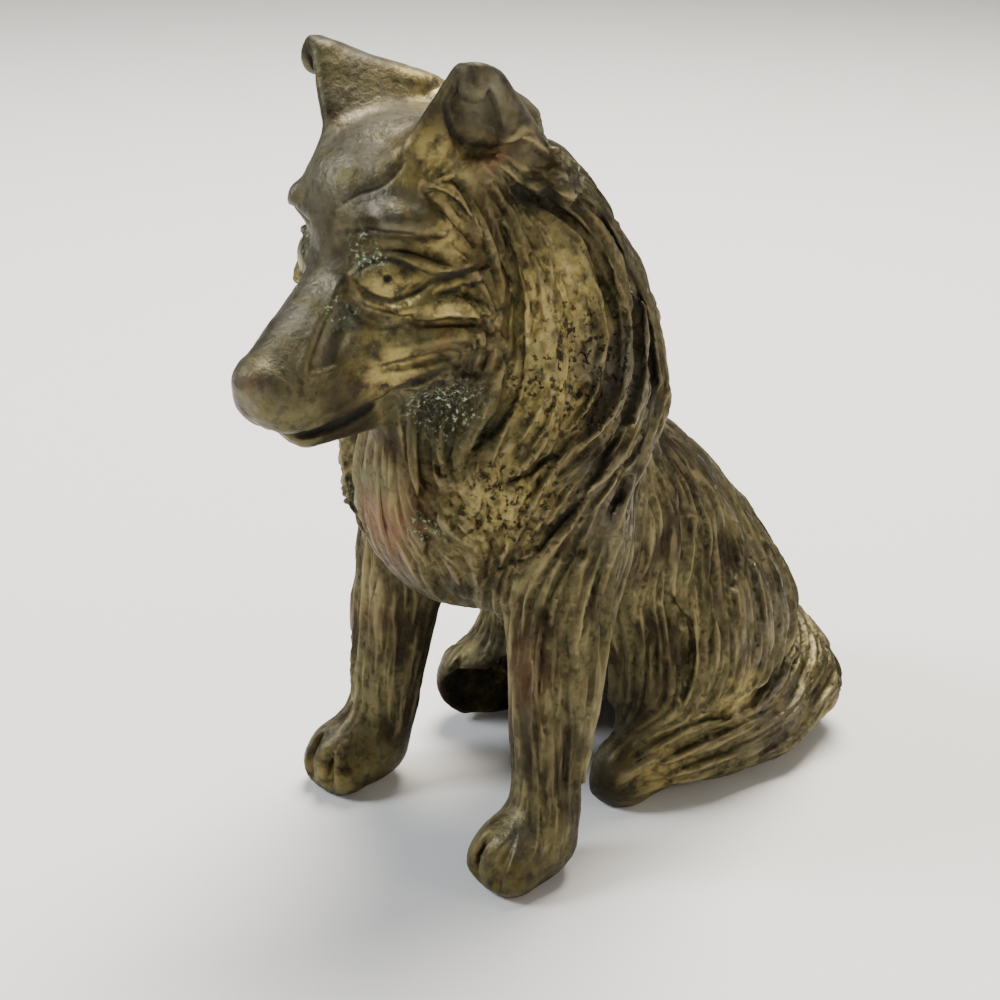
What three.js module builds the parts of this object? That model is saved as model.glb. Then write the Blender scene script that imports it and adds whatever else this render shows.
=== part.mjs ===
// A seated collie cast in one piece of brass: long wedge head, pricked ears, deep mane,
// forelegs set apart, haunches folded under the body and a tail laid round the left side.
// Frame: the dog faces -Y, its left is +X, +Z is up, and its paws stand on Z = 0.
// The form is free, so its points and sizes are given in hundredths of the figure's height.
import * as THREE from "three";
import { edgeTable, triTable } from "three/addons/objects/MarchingCubes.js";

const WIDTH = 47.8; // mm, across the tail and the right haunch
const LENGTH = 94.5; // mm, from the nose to the rump
const HEIGHT = 101.6; // mm, from the paws to the tips of the ears
const FACES = 9600; // triangles kept on the finished casting
const PITCH = 0.8; // hundredths: grid on which the form is sampled
const ROOM = { low: [-30, -50, 0], high: [32, 52, 105] }; // hundredths: space that holds the form
const FACE = { back: -19, under: 58, care: 8 }; // hundredths: where the face lies, and how much finer it stays

const BRASS = { color: 0x6b5a34, roughness: 0.42, metalness: 0.9 };

const mix = (a, b, t) => a + (b - a) * t;
const clamp01 = (t) => Math.min(1, Math.max(0, t));
const minus = (a, b) => [a[0] - b[0], a[1] - b[1], a[2] - b[2]];
const dot = (a, b) => a[0] * b[0] + a[1] * b[1] + a[2] * b[2];
const cross = (a, b) => [a[1] * b[2] - a[2] * b[1], a[2] * b[0] - a[0] * b[2], a[0] * b[1] - a[1] * b[0]];
const scaled = (a, s) => [a[0] * s, a[1] * s, a[2] * s];
const unit = (a) => scaled(a, 1 / Math.max(1e-9, Math.hypot(...a)));

// Forms: each is a distance from a point to a simple body, negative inside it.

// An ellipsoid with its half sizes, turned about X by tilt and then about Z by turn, in degrees.
function ball(centre, half, tilt = 0, turn = 0) {
  const inverse = new THREE.Matrix4()
    .makeRotationZ(THREE.MathUtils.degToRad(turn))
    .multiply(new THREE.Matrix4().makeRotationX(THREE.MathUtils.degToRad(tilt)))
    .invert().elements;
  const [cx, cy, cz] = centre;
  const [rx, ry, rz] = half;
  const form = (x, y, z) => {
    const dx = x - cx;
    const dy = y - cy;
    const dz = z - cz;
    const px = (inverse[0] * dx + inverse[4] * dy + inverse[8] * dz) / rx;
    const py = (inverse[1] * dx + inverse[5] * dy + inverse[9] * dz) / ry;
    const pz = (inverse[2] * dx + inverse[6] * dy + inverse[10] * dz) / rz;
    const k0 = Math.hypot(px, py, pz);
    const k1 = Math.hypot(px / rx, py / ry, pz / rz);
    return k1 > 0 ? (k0 * (k0 - 1)) / k1 : -Math.min(rx, ry, rz);
  };
  return { form, centre, reach: Math.max(rx, ry, rz) };
}

// A chain of tapered round stretches through points [x, y, z, radius].
function limb(...joints) {
  const centre = [0, 1, 2].map(
    (i) => (Math.min(...joints.map((j) => j[i])) + Math.max(...joints.map((j) => j[i]))) / 2,
  );
  const reach = Math.max(...joints.map((j) => Math.hypot(...minus(j, centre)) + j[3]));
  const stretches = joints.slice(1).map((end, i) => {
    const along = minus(end, joints[i]);
    return { start: joints[i], along, thick: end[3], square: dot(along, along) };
  });
  const form = (x, y, z) => {
    let least = Infinity;
    for (const { start, along, thick, square } of stretches) {
      const dx = x - start[0];
      const dy = y - start[1];
      const dz = z - start[2];
      const t = clamp01((dx * along[0] + dy * along[1] + dz * along[2]) / square);
      const away = Math.hypot(dx - t * along[0], dy - t * along[1], dz - t * along[2]);
      least = Math.min(least, away - mix(start[3], thick, t));
    }
    return least;
  };
  return { form, centre, reach };
}

// A four-cornered solid with its edges rounded by soft.
function wedge(corners, soft) {
  const centre = scaled(corners.reduce((s, c) => [s[0] + c[0], s[1] + c[1], s[2] + c[2]]), 0.25);
  const sides = [[0, 1, 2], [0, 1, 3], [0, 2, 3], [1, 2, 3]].map(([a, b, c]) => {
    const normal = unit(cross(minus(corners[b], corners[a]), minus(corners[c], corners[a])));
    const level = dot(normal, corners[a]);
    return dot(normal, centre) > level ? [scaled(normal, -1), -level] : [normal, level];
  });
  const form = (x, y, z) => {
    let most = -1e3;
    for (const [n, level] of sides) {
      const d = n[0] * x + n[1] * y + n[2] * z - level;
      const h = Math.max(soft - Math.abs(most - d), 0) / soft;
      most = Math.max(most, d) + h * h * soft * 0.25;
    }
    return most;
  };
  return { form, centre, reach: Math.max(...corners.map((c) => Math.hypot(...minus(c, centre)))) };
}

// Adds or cuts a body with a soft join of the given width. A pair is made on both sides.
const add = (body, soft = 2) => ({ ...body, soft, cut: false });
const cut = (body, soft = 1) => ({ ...body, soft, cut: true });
const pair = (step) => ({ ...step, paired: true });

// The distance to a figure made of steps taken in order.
function figure(steps) {
  return (x, y, z) => {
    let d = 1e3;
    for (const step of steps) {
      const px = step.paired ? Math.abs(x) : x;
      const [cx, cy, cz] = step.centre;
      const near = Math.hypot(px - cx, y - cy, z - cz) - step.reach * 1.4 - 2;
      if (near > (step.cut ? -d : d) + step.soft) continue;
      const own = step.form(px, y, z);
      const other = step.cut ? -own : own;
      const h = Math.max(step.soft - Math.abs(d - other), 0) / step.soft;
      const blend = h * h * step.soft * 0.25;
      d = step.cut ? Math.max(d, other) + blend : Math.min(d, other) - blend;
    }
    return d;
  };
}

const trunk = [
  add(limb( // neck
    [0, -13.5, 78, 12.5], [0, -10, 74, 15], [0, -6.4, 65, 17.4],
    [0, -5.2, 58.6, 18.5], [0, -8, 51, 15.6],
  ), 2),
  add(limb([0, -7, 52, 15.4], [0, 2.6, 41.6, 15], [0, 13, 33, 16.6], [0, 22, 23, 17.6]), 3), // back
  add(ball([0, -10.2, 51], [15.6, 17.2, 20.5], -4), 4), // breast
  add(ball([0, 25, 14.5], [18.6, 20.4, 15.5]), 5), // rump
];
const head = [
  add(ball([0, -20.5, 80.6], [11.4, 13, 11.3]), 5), // skull
  add(ball([0, -26, 83.3], [9, 6.3, 6.3]), 4), // forehead
  pair(add(ball([6.5, -21.5, 71], [6.6, 11, 8.6], 10), 4)), // cheeks
  add(limb([0, -29, 73.6, 5.8], [0, -41.6, 65.7, 4]), 4), // bridge of the muzzle
  pair(add(limb([4, -28, 68.5, 4.6], [1.9, -41, 63.8, 2.8]), 3)), // lips
  add(limb([0, -20, 63.2, 5.6], [0, -37.2, 60.6, 3]), 3), // lower jaw
  add(ball([0, -43.6, 66.6], [2.7, 2.6, 2.4]), 1), // nose
  pair(add(wedge([ // ears
    [13.9, -26.2, 102.6], [4.4, -30.5, 87], [1.6, -10, 95.8], [16, -12.5, 84.5],
  ], 2.6), 2)),
];
const legs = [
  add(limb([12.5, -8, 40, 7.6], [15, -12.5, 26, 5.6], [15.5, -14, 12, 4.4], [16, -15, 5, 4.4]), 5), // left
  add(limb( // right
    [-11.7, -8.5, 40, 7.4], [-13.2, -12, 26, 5.4], [-14.6, -13.2, 12, 4.6],
    [-15, -15, 5, 4.6],
  ), 5),
  add(ball([15.2, -18.8, 4.2], [4.8, 5.8, 5.2]), 2.5), // left forepaw
  add(limb([12.8, -21.2, 3, 2.4], [17.2, -21.4, 3, 2.4]), 2), // its toes
  add(ball([-16.4, -18.6, 4.2], [4.8, 5.8, 5.2]), 2.5), // right forepaw
  add(limb([-13.8, -21.2, 3, 2.4], [-18, -21.2, 3, 2.4]), 2), // its toes
  pair(add(ball([13, 20, 17], [9, 14.5, 15.5], -20), 5)), // thighs
  add(limb([12, 14, 7, 6.5], [11.8, 4.9, 4.2, 5.2]), 4), // left hind foot
  add(limb([-14, 14, 7, 6.5], [-14.4, 4.8, 7, 6.4]), 4), // right hind foot
];
const tail = [
  add(limb(
    [6, 38.5, 12, 8], [15.6, 37, 7, 7.2], [18.6, 27, 5, 5.2],
    [17.6, 17, 5, 4.4], [15.5, 8, 6, 3.4],
  ), 2),
];
const coat = figure([...trunk, ...head, ...legs, ...tail]);

// A point moved straight onto the coat, and then out of it by rise.
function lay(point, rise) {
  const reach = 0.2;
  let p = point;
  for (let i = 0; i < 5; i++) {
    const here = coat(...p);
    const slope = [0, 1, 2].map((axis) => {
      const q = [...p];
      q[axis] += reach;
      return coat(...q) - here;
    });
    p = minus(p, scaled(unit(slope), here - rise));
  }
  return p;
}

// A tapered stroke of hair along a line of points on the coat. Depth is how far its middle is sunk.
function stroke(line, width, depth, stops = 8) {
  const curve = new THREE.CatmullRomCurve3(line.map((p) => new THREE.Vector3(...p)), false, "catmullrom");
  const joints = curve.getPoints(stops).map((p, i) => {
    const swell = Math.sqrt(Math.sin(Math.PI * mix(0.06, 0.96, i / stops)));
    return [...lay(p.toArray(), -depth * swell), width * swell];
  });
  return limb(...joints);
}
const ridge = (line, width) => add(stroke(line, width, 0.4 * width), 0.5);
const groove = (line, width) => cut(stroke(line, width, 0), 0.5);

const mirrored = (line) => line.map(([x, y, z]) => [-x, y, z]);

// Locks set side by side from a first line to a last one.
function sheaf(first, last, count, width) {
  return Array.from({ length: count }, (_, i) => {
    const share = i / (count - 1);
    return ridge(first.map((p, n) => p.map((c, axis) => mix(c, last[n][axis], share))), width);
  });
}

const face = [
  add(limb([2.4, -32.4, 82.2, 1.4], [6.8, -30.9, 82.7, 2], [9.9, -27.6, 82.4, 1.7]), 1), // brow
  cut(limb( // under the brow
    [2.6, -35.2, 79, 1.5], [6.8, -33.6, 79.5, 2.1], [11.4, -28.4, 79.4, 1.6],
  ), 0.7),
  cut(ball([8.2, -32.6, 76.8], [5, 3.2, 3.5], 0, 41), 0.8), // eye socket
  add(ball([6.1, -30.2, 76.7], [3.3, 1.6, 1.8], 0, 41), 0.3), // eye
  add(limb( // upper lid
    [3.8, -33.6, 76.6, 0.4], [6.1, -31.4, 78.4, 0.8], [8.3, -29.5, 78.4, 0.8],
    [10.2, -27.2, 77.6, 0.7], [12.6, -22.4, 77.2, 0.4],
  ), 0.4),
  add(limb( // lower lid
    [4.2, -33.2, 76.2, 0.5], [5.6, -32, 75, 0.75], [7.4, -30.8, 74.4, 0.8],
    [9.2, -28.9, 75, 0.7], [10.8, -26.8, 76.4, 0.4],
  ), 0.4),
  groove([[3.8, -34.4, 75], [5.6, -33, 73.2], [8, -31.2, 72.8], [10, -29.2, 73.9]], 1), // under the lid
  cut(limb([4.1, -35.1, 75.6, 1.1], [5.2, -37.1, 72.1, 2.1], [5.8, -39.1, 69.2, 2]), 0.6), // tear hollow
  ridge([ // cheek locks
    [8.4, -30.8, 73.4], [11.2, -27.7, 74.4], [13.4, -23.6, 73.2], [14, -20, 71.6],
  ], 1.1),
  groove([[8.2, -31, 71.6], [11.6, -27.9, 72.5], [13.8, -23.6, 71.4]], 0.6),
  ridge([[8, -31.4, 69.6], [11.6, -27, 70.7], [13.8, -22, 69.4], [14.4, -19.4, 68]], 1.2),
  groove([[7, -32.6, 67.4], [10.6, -27.8, 68.6], [13.2, -23, 67.8]], 0.7),
  groove([ // mouth
    [0.4, -42.4, 61.2], [2.8, -39.4, 61], [4.4, -34.6, 61.2], [7.2, -29.6, 63.2],
    [11.2, -25.6, 66],
  ], 0.85),
  ridge([[3, -40, 62.6], [4.8, -35, 63.2], [7.6, -29.8, 65.4], [10.4, -26.8, 67.4]], 0.9), // lip
  cut(ball([12.2, -23.8, 66.4], [1.9, 2.6, 1.9]), 0.8), // corner of the mouth
  cut(ball([2.6, -46.8, 67.2], [1.5, 1.2, 1.2]), 0.2), // chipped nose
  groove([[9.9, -28.4, 86.4], [11.6, -25.2, 83.2], [12.4, -22.8, 79.6]], 1.1), // temple
  cut(limb( // hollow of the ear
    [12, -24.9, 97.4, 1.2], [12.3, -24.5, 93.8, 2.6], [12.1, -23.4, 90.4, 3],
  ), 0.5),
].map(pair);

const hair = [
  ...sheaf(
    [
        [12.6, -15, 88.5], [11.4, -3.5, 81.2], [12.5, 3.5, 70], [14, 4.5, 57],
        [16.3, 0, 49.4], [18, -9.4, 44], [12, -17, 36],
    ],
    [
        [11.8, -18, 85.3], [13, -8.5, 81.5], [15.3, -4, 71.9], [16.6, -5, 64],
        [17, -9, 58.5], [16, -15, 56], [12, -20, 52],
    ],
      5, 1.35,
  ), // the great locks from behind the ear down to the breast
  ...sheaf(
      [[12.1, -19.5, 82], [13.6, -18.5, 75], [13.4, -18.5, 64], [10.6, -22, 54]],
      [[13, -15.5, 80], [15.2, -12.8, 70], [16, -13, 60], [14, -18, 54]],
      3, 1.3,
  ), // behind the cheek
  ...sheaf(
      [[12.8, -20, 66], [10.4, -21.6, 59], [8, -24.4, 50], [7.4, -21, 39]],
      [[15, -17, 51], [14, -18, 47], [12.5, -19, 43], [10, -19, 37]],
      4, 1.2,
  ), // ruff
  ...sheaf(
      [[9, 15, 50], [13, 17.5, 44], [15.4, 21, 36], [17, 19, 29]],
      [[13, 4, 53], [14, 7.5, 48.8], [15.6, 8.4, 39], [15.5, 7, 30]],
      5, 1.1,
  ), // flank
  ...sheaf(
      [[15, 34, 29], [18, 33.5, 23], [19, 32, 16]],
      [[16.6, 10, 29], [18.3, 9, 23], [18.6, 8, 16]],
      7, 1.2,
  ), // haunch
  cut(limb( // hollow side of the mane
    [14.6, -13.4, 79, 1.6], [17.2, -11, 71, 3], [18.2, -12, 63, 3],
    [17.6, -14.6, 57.6, 2],
  ), 1),
  ridge([
    [12, -18.3, 83.3], [13.8, -17.3, 77.5], [15, -14.4, 71.6], [15.7, -14.6, 61.6],
    [15.3, -16.6, 57.2], [13.4, -20.1, 53.4],
  ], 1.3),
  groove([
    [12, -17.2, 84.7], [13.2, -10.5, 81.2], [15.6, -6, 73], [17.9, -7.7, 62.8],
    [18.1, -11.4, 57.8], [13.9, -19.8, 52.7],
  ], 1.1),
  groove([
    [13.7, -12.9, 85.4], [12.8, -3.3, 78.8], [17, -2.4, 68], [19, -5.3, 57.8],
    [16.2, -13.9, 47], [12, -19.2, 41],
  ], 0.9),
  groove([
    [12.2, -4.4, 81.2], [15.4, -0.6, 71.4], [17.6, -0.2, 60], [17.6, -5, 47.4],
    [19.3, -11.1, 42.2],
  ], 0.8),
  groove([[12.5, -19.9, 80.9], [13.8, -19.2, 70], [13.3, -19.2, 62], [10.7, -22.9, 56.4]], 1),
  ridge([ // tufts of the breast
    [6.7, -25, 49.8], [9.7, -24.3, 53.2], [12.5, -21.6, 53.3], [13.9, -20.1, 50.6],
  ], 1.5),
  ridge([[6.6, -24.6, 43.6], [10.3, -23.2, 45.5], [12.8, -20.8, 47]], 1.6),
  groove([ // front edge of the haunch
    [15.5, 7.9, 29.2], [17.6, 8.9, 25.4], [18.6, 8.5, 20.9], [18.4, 8.4, 15],
  ], 1.4),
  groove([[5.6, -25.6, 58], [6.8, -25.8, 50], [6.2, -24, 42], [4, -19.5, 34.8]], 1.2), // seam of the breast
].map(pair);
const shoulder = [
  [[15.3, 3.9, 50.6], [19.3, -6.8, 43.3], [20.2, -9.4, 34.6], [20.5, -11, 24.9], [19.5, -12, 13]],
  [[15.6, -15.4, 41], [16.5, -17, 35], [16.7, -18, 30], [17.6, -18, 23], [18.6, -17, 13]],
];
const sleeves = [
  ...sheaf(...shoulder, 5, 1.2),
  ...sheaf(...shoulder.map(mirrored), 5, 1.2),
];
const tailHair = [
  ...sheaf(
      [[13, 44, 13], [20, 38, 8], [23.4, 26, 4], [22, 15, 3.4], [19, 7, 3.6]],
      [[12, 42, 20], [19, 32, 14.6], [21, 20, 11.6], [19.4, 11, 11.2], [17, 6, 9]],
      4, 1.2,
  ),
  groove([ // where the tail leaves the haunch
    [11, 42, 22], [19.4, 31, 16.4], [21, 19, 13], [19, 10, 12.6],
  ], 1.2),
];
const feet = [
  cut(limb( // toes of the forepaws
    [17.2, -25.2, 0, 1], [17.4, -24, 4.6, 0.7], [17.4, -21.5, 8.4, 0.3],
  ), 0.5),
  cut(limb([13.6, -24.6, 0, 0.7], [14, -23.6, 4, 0.5], [14.6, -21.4, 7.6, 0.2]), 0.5),
  cut(limb([15.4, -2, 0, 0.8], [15.2, -1.6, 6, 0.7], [14.6, 1.2, 12.4, 0.3]), 0.5), // toes of the hind feet
  cut(limb([17.2, 4, 30, 2], [17.4, 3.4, 22, 3], [18.6, 3, 16.6, 2]), 3), // before the thigh
].map(pair);
const underside = [
  cut(limb( // right half
    [-12.4, -5, 5, 5.2], [-12.2, 4, 5.6, 5.6], [-8, 12, 7.5, 7.6],
    [-5, 22, 8.5, 9.6],
  ), 1.2),
  cut(limb([3, -4, 4, 6], [4, 6, 6, 7], [5.4, 14, 8, 8], [5, 22, 8.5, 9.6]), 1.2), // left half
  cut(limb([-3, -6, 4.6, 7], [-2.6, 6, 7, 8], [0, 14, 9.5, 10], [0, 24, 9.5, 10.6]), 1.5), // middle
];
const bulk = [...trunk, ...head, ...legs, ...tail];
const carving = [...underside, ...face, ...hair, ...sleeves, ...tailHair, ...feet];
const dog = figure([...bulk, ...carving]);

// Samples the form on a grid and joins the crossings into a closed surface, flat under Z = 0.
function polygonise(form, low, high, pitch) {
  const count = low.map((l, i) => Math.ceil((high[i] - l) / pitch) + 1);
  const [nx, ny, nz] = count;
  const at = (i, j, k) => i + nx * (j + ny * k);
  const field = new Float32Array(nx * ny * nz).fill(1);
  const block = 4;
  const half = ((block - 1) * pitch) / 2;
  for (let k = 0; k < nz; k += block)
    for (let j = 0; j < ny; j += block)
      for (let i = 0; i < nx; i += block) {
        const middle = form(low[0] + i * pitch + half, low[1] + j * pitch + half, low[2] + k * pitch + half);
        const near = Math.abs(middle) < block * pitch * 1.4;
        for (let c = k; c < Math.min(k + block, nz); c++)
          for (let b = j; b < Math.min(j + block, ny); b++)
            for (let a = i; a < Math.min(i + block, nx); a++) {
              const z = low[2] + c * pitch;
              const d = near ? form(low[0] + a * pitch, low[1] + b * pitch, z) : middle;
              field[at(a, b, c)] = Math.max(d, -z);
            }
      }
  const corners = [[0, 0, 0], [1, 0, 0], [1, 1, 0], [0, 1, 0], [0, 0, 1], [1, 0, 1], [1, 1, 1], [0, 1, 1]];
  const edges = [[0, 1], [1, 2], [3, 2], [0, 3], [4, 5], [5, 6], [7, 6], [4, 7], [0, 4], [1, 5], [2, 6], [3, 7]];
  const places = [];
  const triangles = [];
  const made = new Map();
  const crossing = (ids, spot, a, b) => {
    const axis = corners[a].findIndex((c, i) => c !== corners[b][i]);
    const key = ids[a] * 3 + axis;
    if (!made.has(key)) {
      const t = clamp01(field[ids[a]] / (field[ids[a]] - field[ids[b]]));
      made.set(key, places.length);
      places.push(spot.map((n, i) => low[i] + (n + mix(corners[a][i], corners[b][i], t)) * pitch));
    }
    return made.get(key);
  };
  for (let k = 0; k < nz - 1; k++)
    for (let j = 0; j < ny - 1; j++)
      for (let i = 0; i < nx - 1; i++) {
        const ids = corners.map(([a, b, c]) => at(i + a, j + b, k + c));
        const bits = ids.reduce((sum, id, n) => sum | ((field[id] < 0 ? 1 : 0) << n), 0);
        if (!edgeTable[bits]) continue;
        const found = edges.map(([a, b], e) =>
          edgeTable[bits] & (1 << e) ? crossing(ids, [i, j, k], a, b) : -1,
        );
        for (let n = bits * 16; triTable[n] !== -1; n += 3)
          triangles.push([found[triTable[n]], found[triTable[n + 2]], found[triTable[n + 1]]]);
      }
  return { places, triangles };
}

// Folds away the edges that matter least to the shape, until only the wanted faces are left.
function simplify({ places, triangles }, wanted, care) {
  const floorWeight = 300;
  const faceOf = places.map(() => new Set());
  triangles.forEach((t, f) => t.forEach((v) => faceOf[v].add(f)));
  const quadrics = places.map(() => new Float64Array(10));
  triangles.forEach(([a, b, c]) => {
    const normal = cross(minus(places[b], places[a]), minus(places[c], places[a]));
    const area = Math.hypot(...normal);
    if (area < 1e-12) return;
    const [x, y, z] = scaled(normal, 1 / area);
    const w = -(x * places[a][0] + y * places[a][1] + z * places[a][2]);
    const onFloor = z < -0.999 && places[a][2] < 1e-3;
    const weight = onFloor ? floorWeight : care(places[a]);
    const terms = [x * x, x * y, x * z, x * w, y * y, y * z, y * w, z * z, z * w, w * w];
    [a, b, c].forEach((v) =>
      terms.forEach((term, i) => (quadrics[v][i] += term * area * weight)),
    );
  });
  // The best place for the point that two joined points fold into, and what the fold costs.
  const fold = (a, b) => {
    const q = quadrics[a].map((term, i) => term + quadrics[b][i]);
    const [mx, my, mz] = [0, 1, 2].map((i) => (places[a][i] + places[b][i]) / 2);
    const hold = 1e-3 * (q[0] + q[4] + q[7]) + 1e-9;
    const [xx, xy, xz, yy, yz, zz] = [q[0] + hold, q[1], q[2], q[4] + hold, q[5], q[7] + hold];
    const r = [hold * mx - q[3], hold * my - q[6], hold * mz - q[8]];
    const minors = [yy * zz - yz * yz, xz * yz - xy * zz, xy * yz - xz * yy];
    const size = xx * minors[0] + xy * minors[1] + xz * minors[2];
    const x = (minors[0] * r[0] + minors[1] * r[1] + minors[2] * r[2]) / size;
    const y = (minors[1] * r[0] + (xx * zz - xz * xz) * r[1] + (xy * xz - xx * yz) * r[2]) / size;
    const z = (minors[2] * r[0] + (xy * xz - xx * yz) * r[1] + (xx * yy - xy * xy) * r[2]) / size;
    const error =
      q[0] * x * x + 2 * q[1] * x * y + 2 * q[2] * x * z + 2 * q[3] * x +
      q[4] * y * y + 2 * q[5] * y * z + 2 * q[6] * y + q[7] * z * z + 2 * q[8] * z + q[9];
    const length = Math.hypot(...minus(places[a], places[b]));
    return { a, b, place: [x, y, z], cost: Math.max(0, error) + 1e-4 * length * length };
  };
  const heap = [];
  const push = (entry) => {
    let i = heap.length;
    heap.push(entry);
    while (i > 0 && heap[(i - 1) >> 1].cost > entry.cost) {
      heap[i] = heap[(i - 1) >> 1];
      i = (i - 1) >> 1;
    }
    heap[i] = entry;
  };
  const pop = () => {
    const top = heap[0];
    const last = heap.pop();
    let i = 0;
    while (2 * i + 1 < heap.length) {
      const right = 2 * i + 2;
      const child = right < heap.length && heap[right].cost < heap[right - 1].cost ? right : right - 1;
      if (heap[child].cost >= last.cost) break;
      heap[i] = heap[child];
      i = child;
    }
    if (heap.length) heap[i] = last;
    return top;
  };
  const stamp = places.map(() => 0);
  const offer = (a, b) => push({ ...fold(a, b), stamps: [stamp[a], stamp[b]] });
  const around = (v) => {
    const found = new Set();
    faceOf[v].forEach((f) => triangles[f].forEach((w) => found.add(w)));
    found.delete(v);
    return found;
  };
  const turns = (v, other, place) =>
    [...faceOf[v]].some((f) => {
      const t = triangles[f];
      if (t.includes(other)) return false;
      const before = t.map((w) => places[w]);
      const after = t.map((w) => (w === v ? place : places[w]));
      const n0 = cross(minus(before[1], before[0]), minus(before[2], before[0]));
      const n1 = cross(minus(after[1], after[0]), minus(after[2], after[0]));
      return dot(n0, n1) < 0.3 * Math.hypot(...n0) * Math.hypot(...n1) || Math.hypot(...n1) < 1e-6;
    });
  triangles.forEach(([a, b, c]) => {
    [[a, b], [b, c], [c, a]].forEach(([v, w]) => v < w && offer(v, w));
  });
  let left = triangles.length;
  while (left > wanted && heap.length) {
    const { a, b, place, stamps } = pop();
    if (stamps[0] !== stamp[a] || stamps[1] !== stamp[b]) continue;
    const shared = [...around(a)].filter((v) => around(b).has(v));
    if (shared.length !== 2 || turns(a, b, place) || turns(b, a, place)) continue;
    for (const f of [...faceOf[b]]) {
      const t = triangles[f];
      if (t.includes(a)) {
        t.forEach((v) => faceOf[v].delete(f));
        triangles[f] = null;
        left--;
      } else {
        t[t.indexOf(b)] = a;
        faceOf[a].add(f);
      }
    }
    faceOf[b].clear();
    stamp[b] = -1;
    places[a] = place;
    quadrics[b].forEach((term, i) => (quadrics[a][i] += term));
    stamp[a]++;
    around(a).forEach((v) => offer(a, v));
  }
  const kept = new Map();
  const list = triangles.filter((t) => t);
  list.flat().forEach((v) => kept.has(v) || kept.set(v, kept.size));
  return { places: [...kept.keys()].map((v) => places[v]), triangles: list.map((t) => t.map((v) => kept.get(v))) };
}

// The face keeps more of its triangles than the coat does.
const care = ([, y, z]) => (y < FACE.back && z > FACE.under ? FACE.care : 1);
const grid = polygonise(dog, [ROOM.low[0], ROOM.low[1], ROOM.low[2] - PITCH / 2], ROOM.high, PITCH);
const surface = simplify(grid, FACES, care);
const flat = PITCH / 40;
const settled = surface.places.map(([x, y, z]) => [x, y, Math.abs(z) < flat ? 0 : z]);
const axes = [0, 1, 2];
const lowest = axes.map((axis) => settled.reduce((least, p) => Math.min(least, p[axis]), Infinity));
const highest = axes.map((axis) => settled.reduce((most, p) => Math.max(most, p[axis]), -Infinity));
const middle = [(lowest[0] + highest[0]) / 2, (lowest[1] + highest[1]) / 2, lowest[2]];
const stretch = [WIDTH, LENGTH, HEIGHT].map((size, axis) => size / (highest[axis] - lowest[axis]));
const points = settled.map((p) => axes.map((axis) => (p[axis] - middle[axis]) * stretch[axis]));
const geometry = new THREE.BufferGeometry()
  .setAttribute("position", new THREE.Float32BufferAttribute(points.flat(), 3))
  .setIndex(surface.triangles.flat());
const casting = new THREE.Mesh(geometry, new THREE.MeshStandardMaterial(BRASS));
casting.name = "collie_dog";
const part = new THREE.Group();
part.add(casting);

export default part;
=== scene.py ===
"""A small cast brass figurine of a seated collie, under a dark and worn patina, with painted shade and
sheen in its colour.

The dog faces -Y, its left side is +X, and its paws stand on Z = 0. The form is free, so
its points are given in hundredths of its height and turned into metres at the very end.
"""

import logging
import math
from dataclasses import dataclass, field
from enum import Enum
from typing import Any, Sequence

import bpy
import numpy as np
from mathutils import Matrix, Vector


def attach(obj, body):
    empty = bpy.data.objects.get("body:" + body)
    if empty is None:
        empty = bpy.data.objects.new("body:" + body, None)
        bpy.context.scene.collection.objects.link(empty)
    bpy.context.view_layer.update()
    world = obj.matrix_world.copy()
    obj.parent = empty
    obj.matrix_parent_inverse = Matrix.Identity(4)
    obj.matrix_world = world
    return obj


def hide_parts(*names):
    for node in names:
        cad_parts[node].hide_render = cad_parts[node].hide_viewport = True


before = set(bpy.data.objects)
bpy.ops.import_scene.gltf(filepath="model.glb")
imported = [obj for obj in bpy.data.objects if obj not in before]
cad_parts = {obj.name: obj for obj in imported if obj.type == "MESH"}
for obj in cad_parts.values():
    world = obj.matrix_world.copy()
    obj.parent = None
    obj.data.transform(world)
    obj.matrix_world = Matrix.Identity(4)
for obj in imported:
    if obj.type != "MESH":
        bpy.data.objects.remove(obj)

logging.basicConfig(level=logging.INFO, format="%(message)s")
LOG = logging.getLogger("collie")
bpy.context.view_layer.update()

Array = np.ndarray
Point = Sequence[float]
Line = list[Point]

HEIGHT = 0.102  # metres, the length that a hundred hundredths stand for
UNIT = HEIGHT / 100
MIDDLE = (0.88, 0.11)  # hundredths, the centre of the footprint, moved to X = 0 and Y = 0
LOW = (-30.0, -50.0, 0.0)  # hundredths, the corners of the space that holds the dog
HIGH = (32.0, 52.0, 105.0)


def mix(a: Any, b: Any, t: Any) -> Any:
    """Blends a into b by t."""
    return a + (b - a) * t


def unit_rows(v: Array) -> Array:
    """Scales every row to length one."""
    return v / np.maximum(np.linalg.norm(v, axis=-1, keepdims=True), 1e-9)


class Ball:
    """An ellipsoid, turned about X by tilt and then about Z by turn, in degrees."""

    def __init__(self, centre: Point, half: Point, tilt: float = 0.0, turn: float = 0.0) -> None:
        """Keeps the middle, the half sizes and the turned axes.

        Args:
            centre: Its middle.
            half: Its half sizes.
            tilt: How far it is turned about X, in degrees.
            turn: How far it is then turned about Z, in degrees.
        """
        self.centre = np.asarray(centre, np.float32)
        self.half = np.asarray(half, np.float32)
        spin = Matrix.Rotation(math.radians(turn), 3, "Z") @ Matrix.Rotation(math.radians(tilt), 3, "X")
        self.axes = np.array(spin, np.float32)

    def distance(self, p: Array) -> Array:
        """Measures how far points lie from the skin.

        Args:
            p: The points.

        Returns:
            The distance of each point, below zero inside.
        """
        q = ((p - self.centre) @ self.axes) / self.half
        k0 = np.sqrt((q * q).sum(-1))
        q /= self.half
        k1 = np.sqrt((q * q).sum(-1))
        return np.where(k1 > 1e-6, k0 * (k0 - 1) / np.maximum(k1, 1e-6), -self.half.min())


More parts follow.
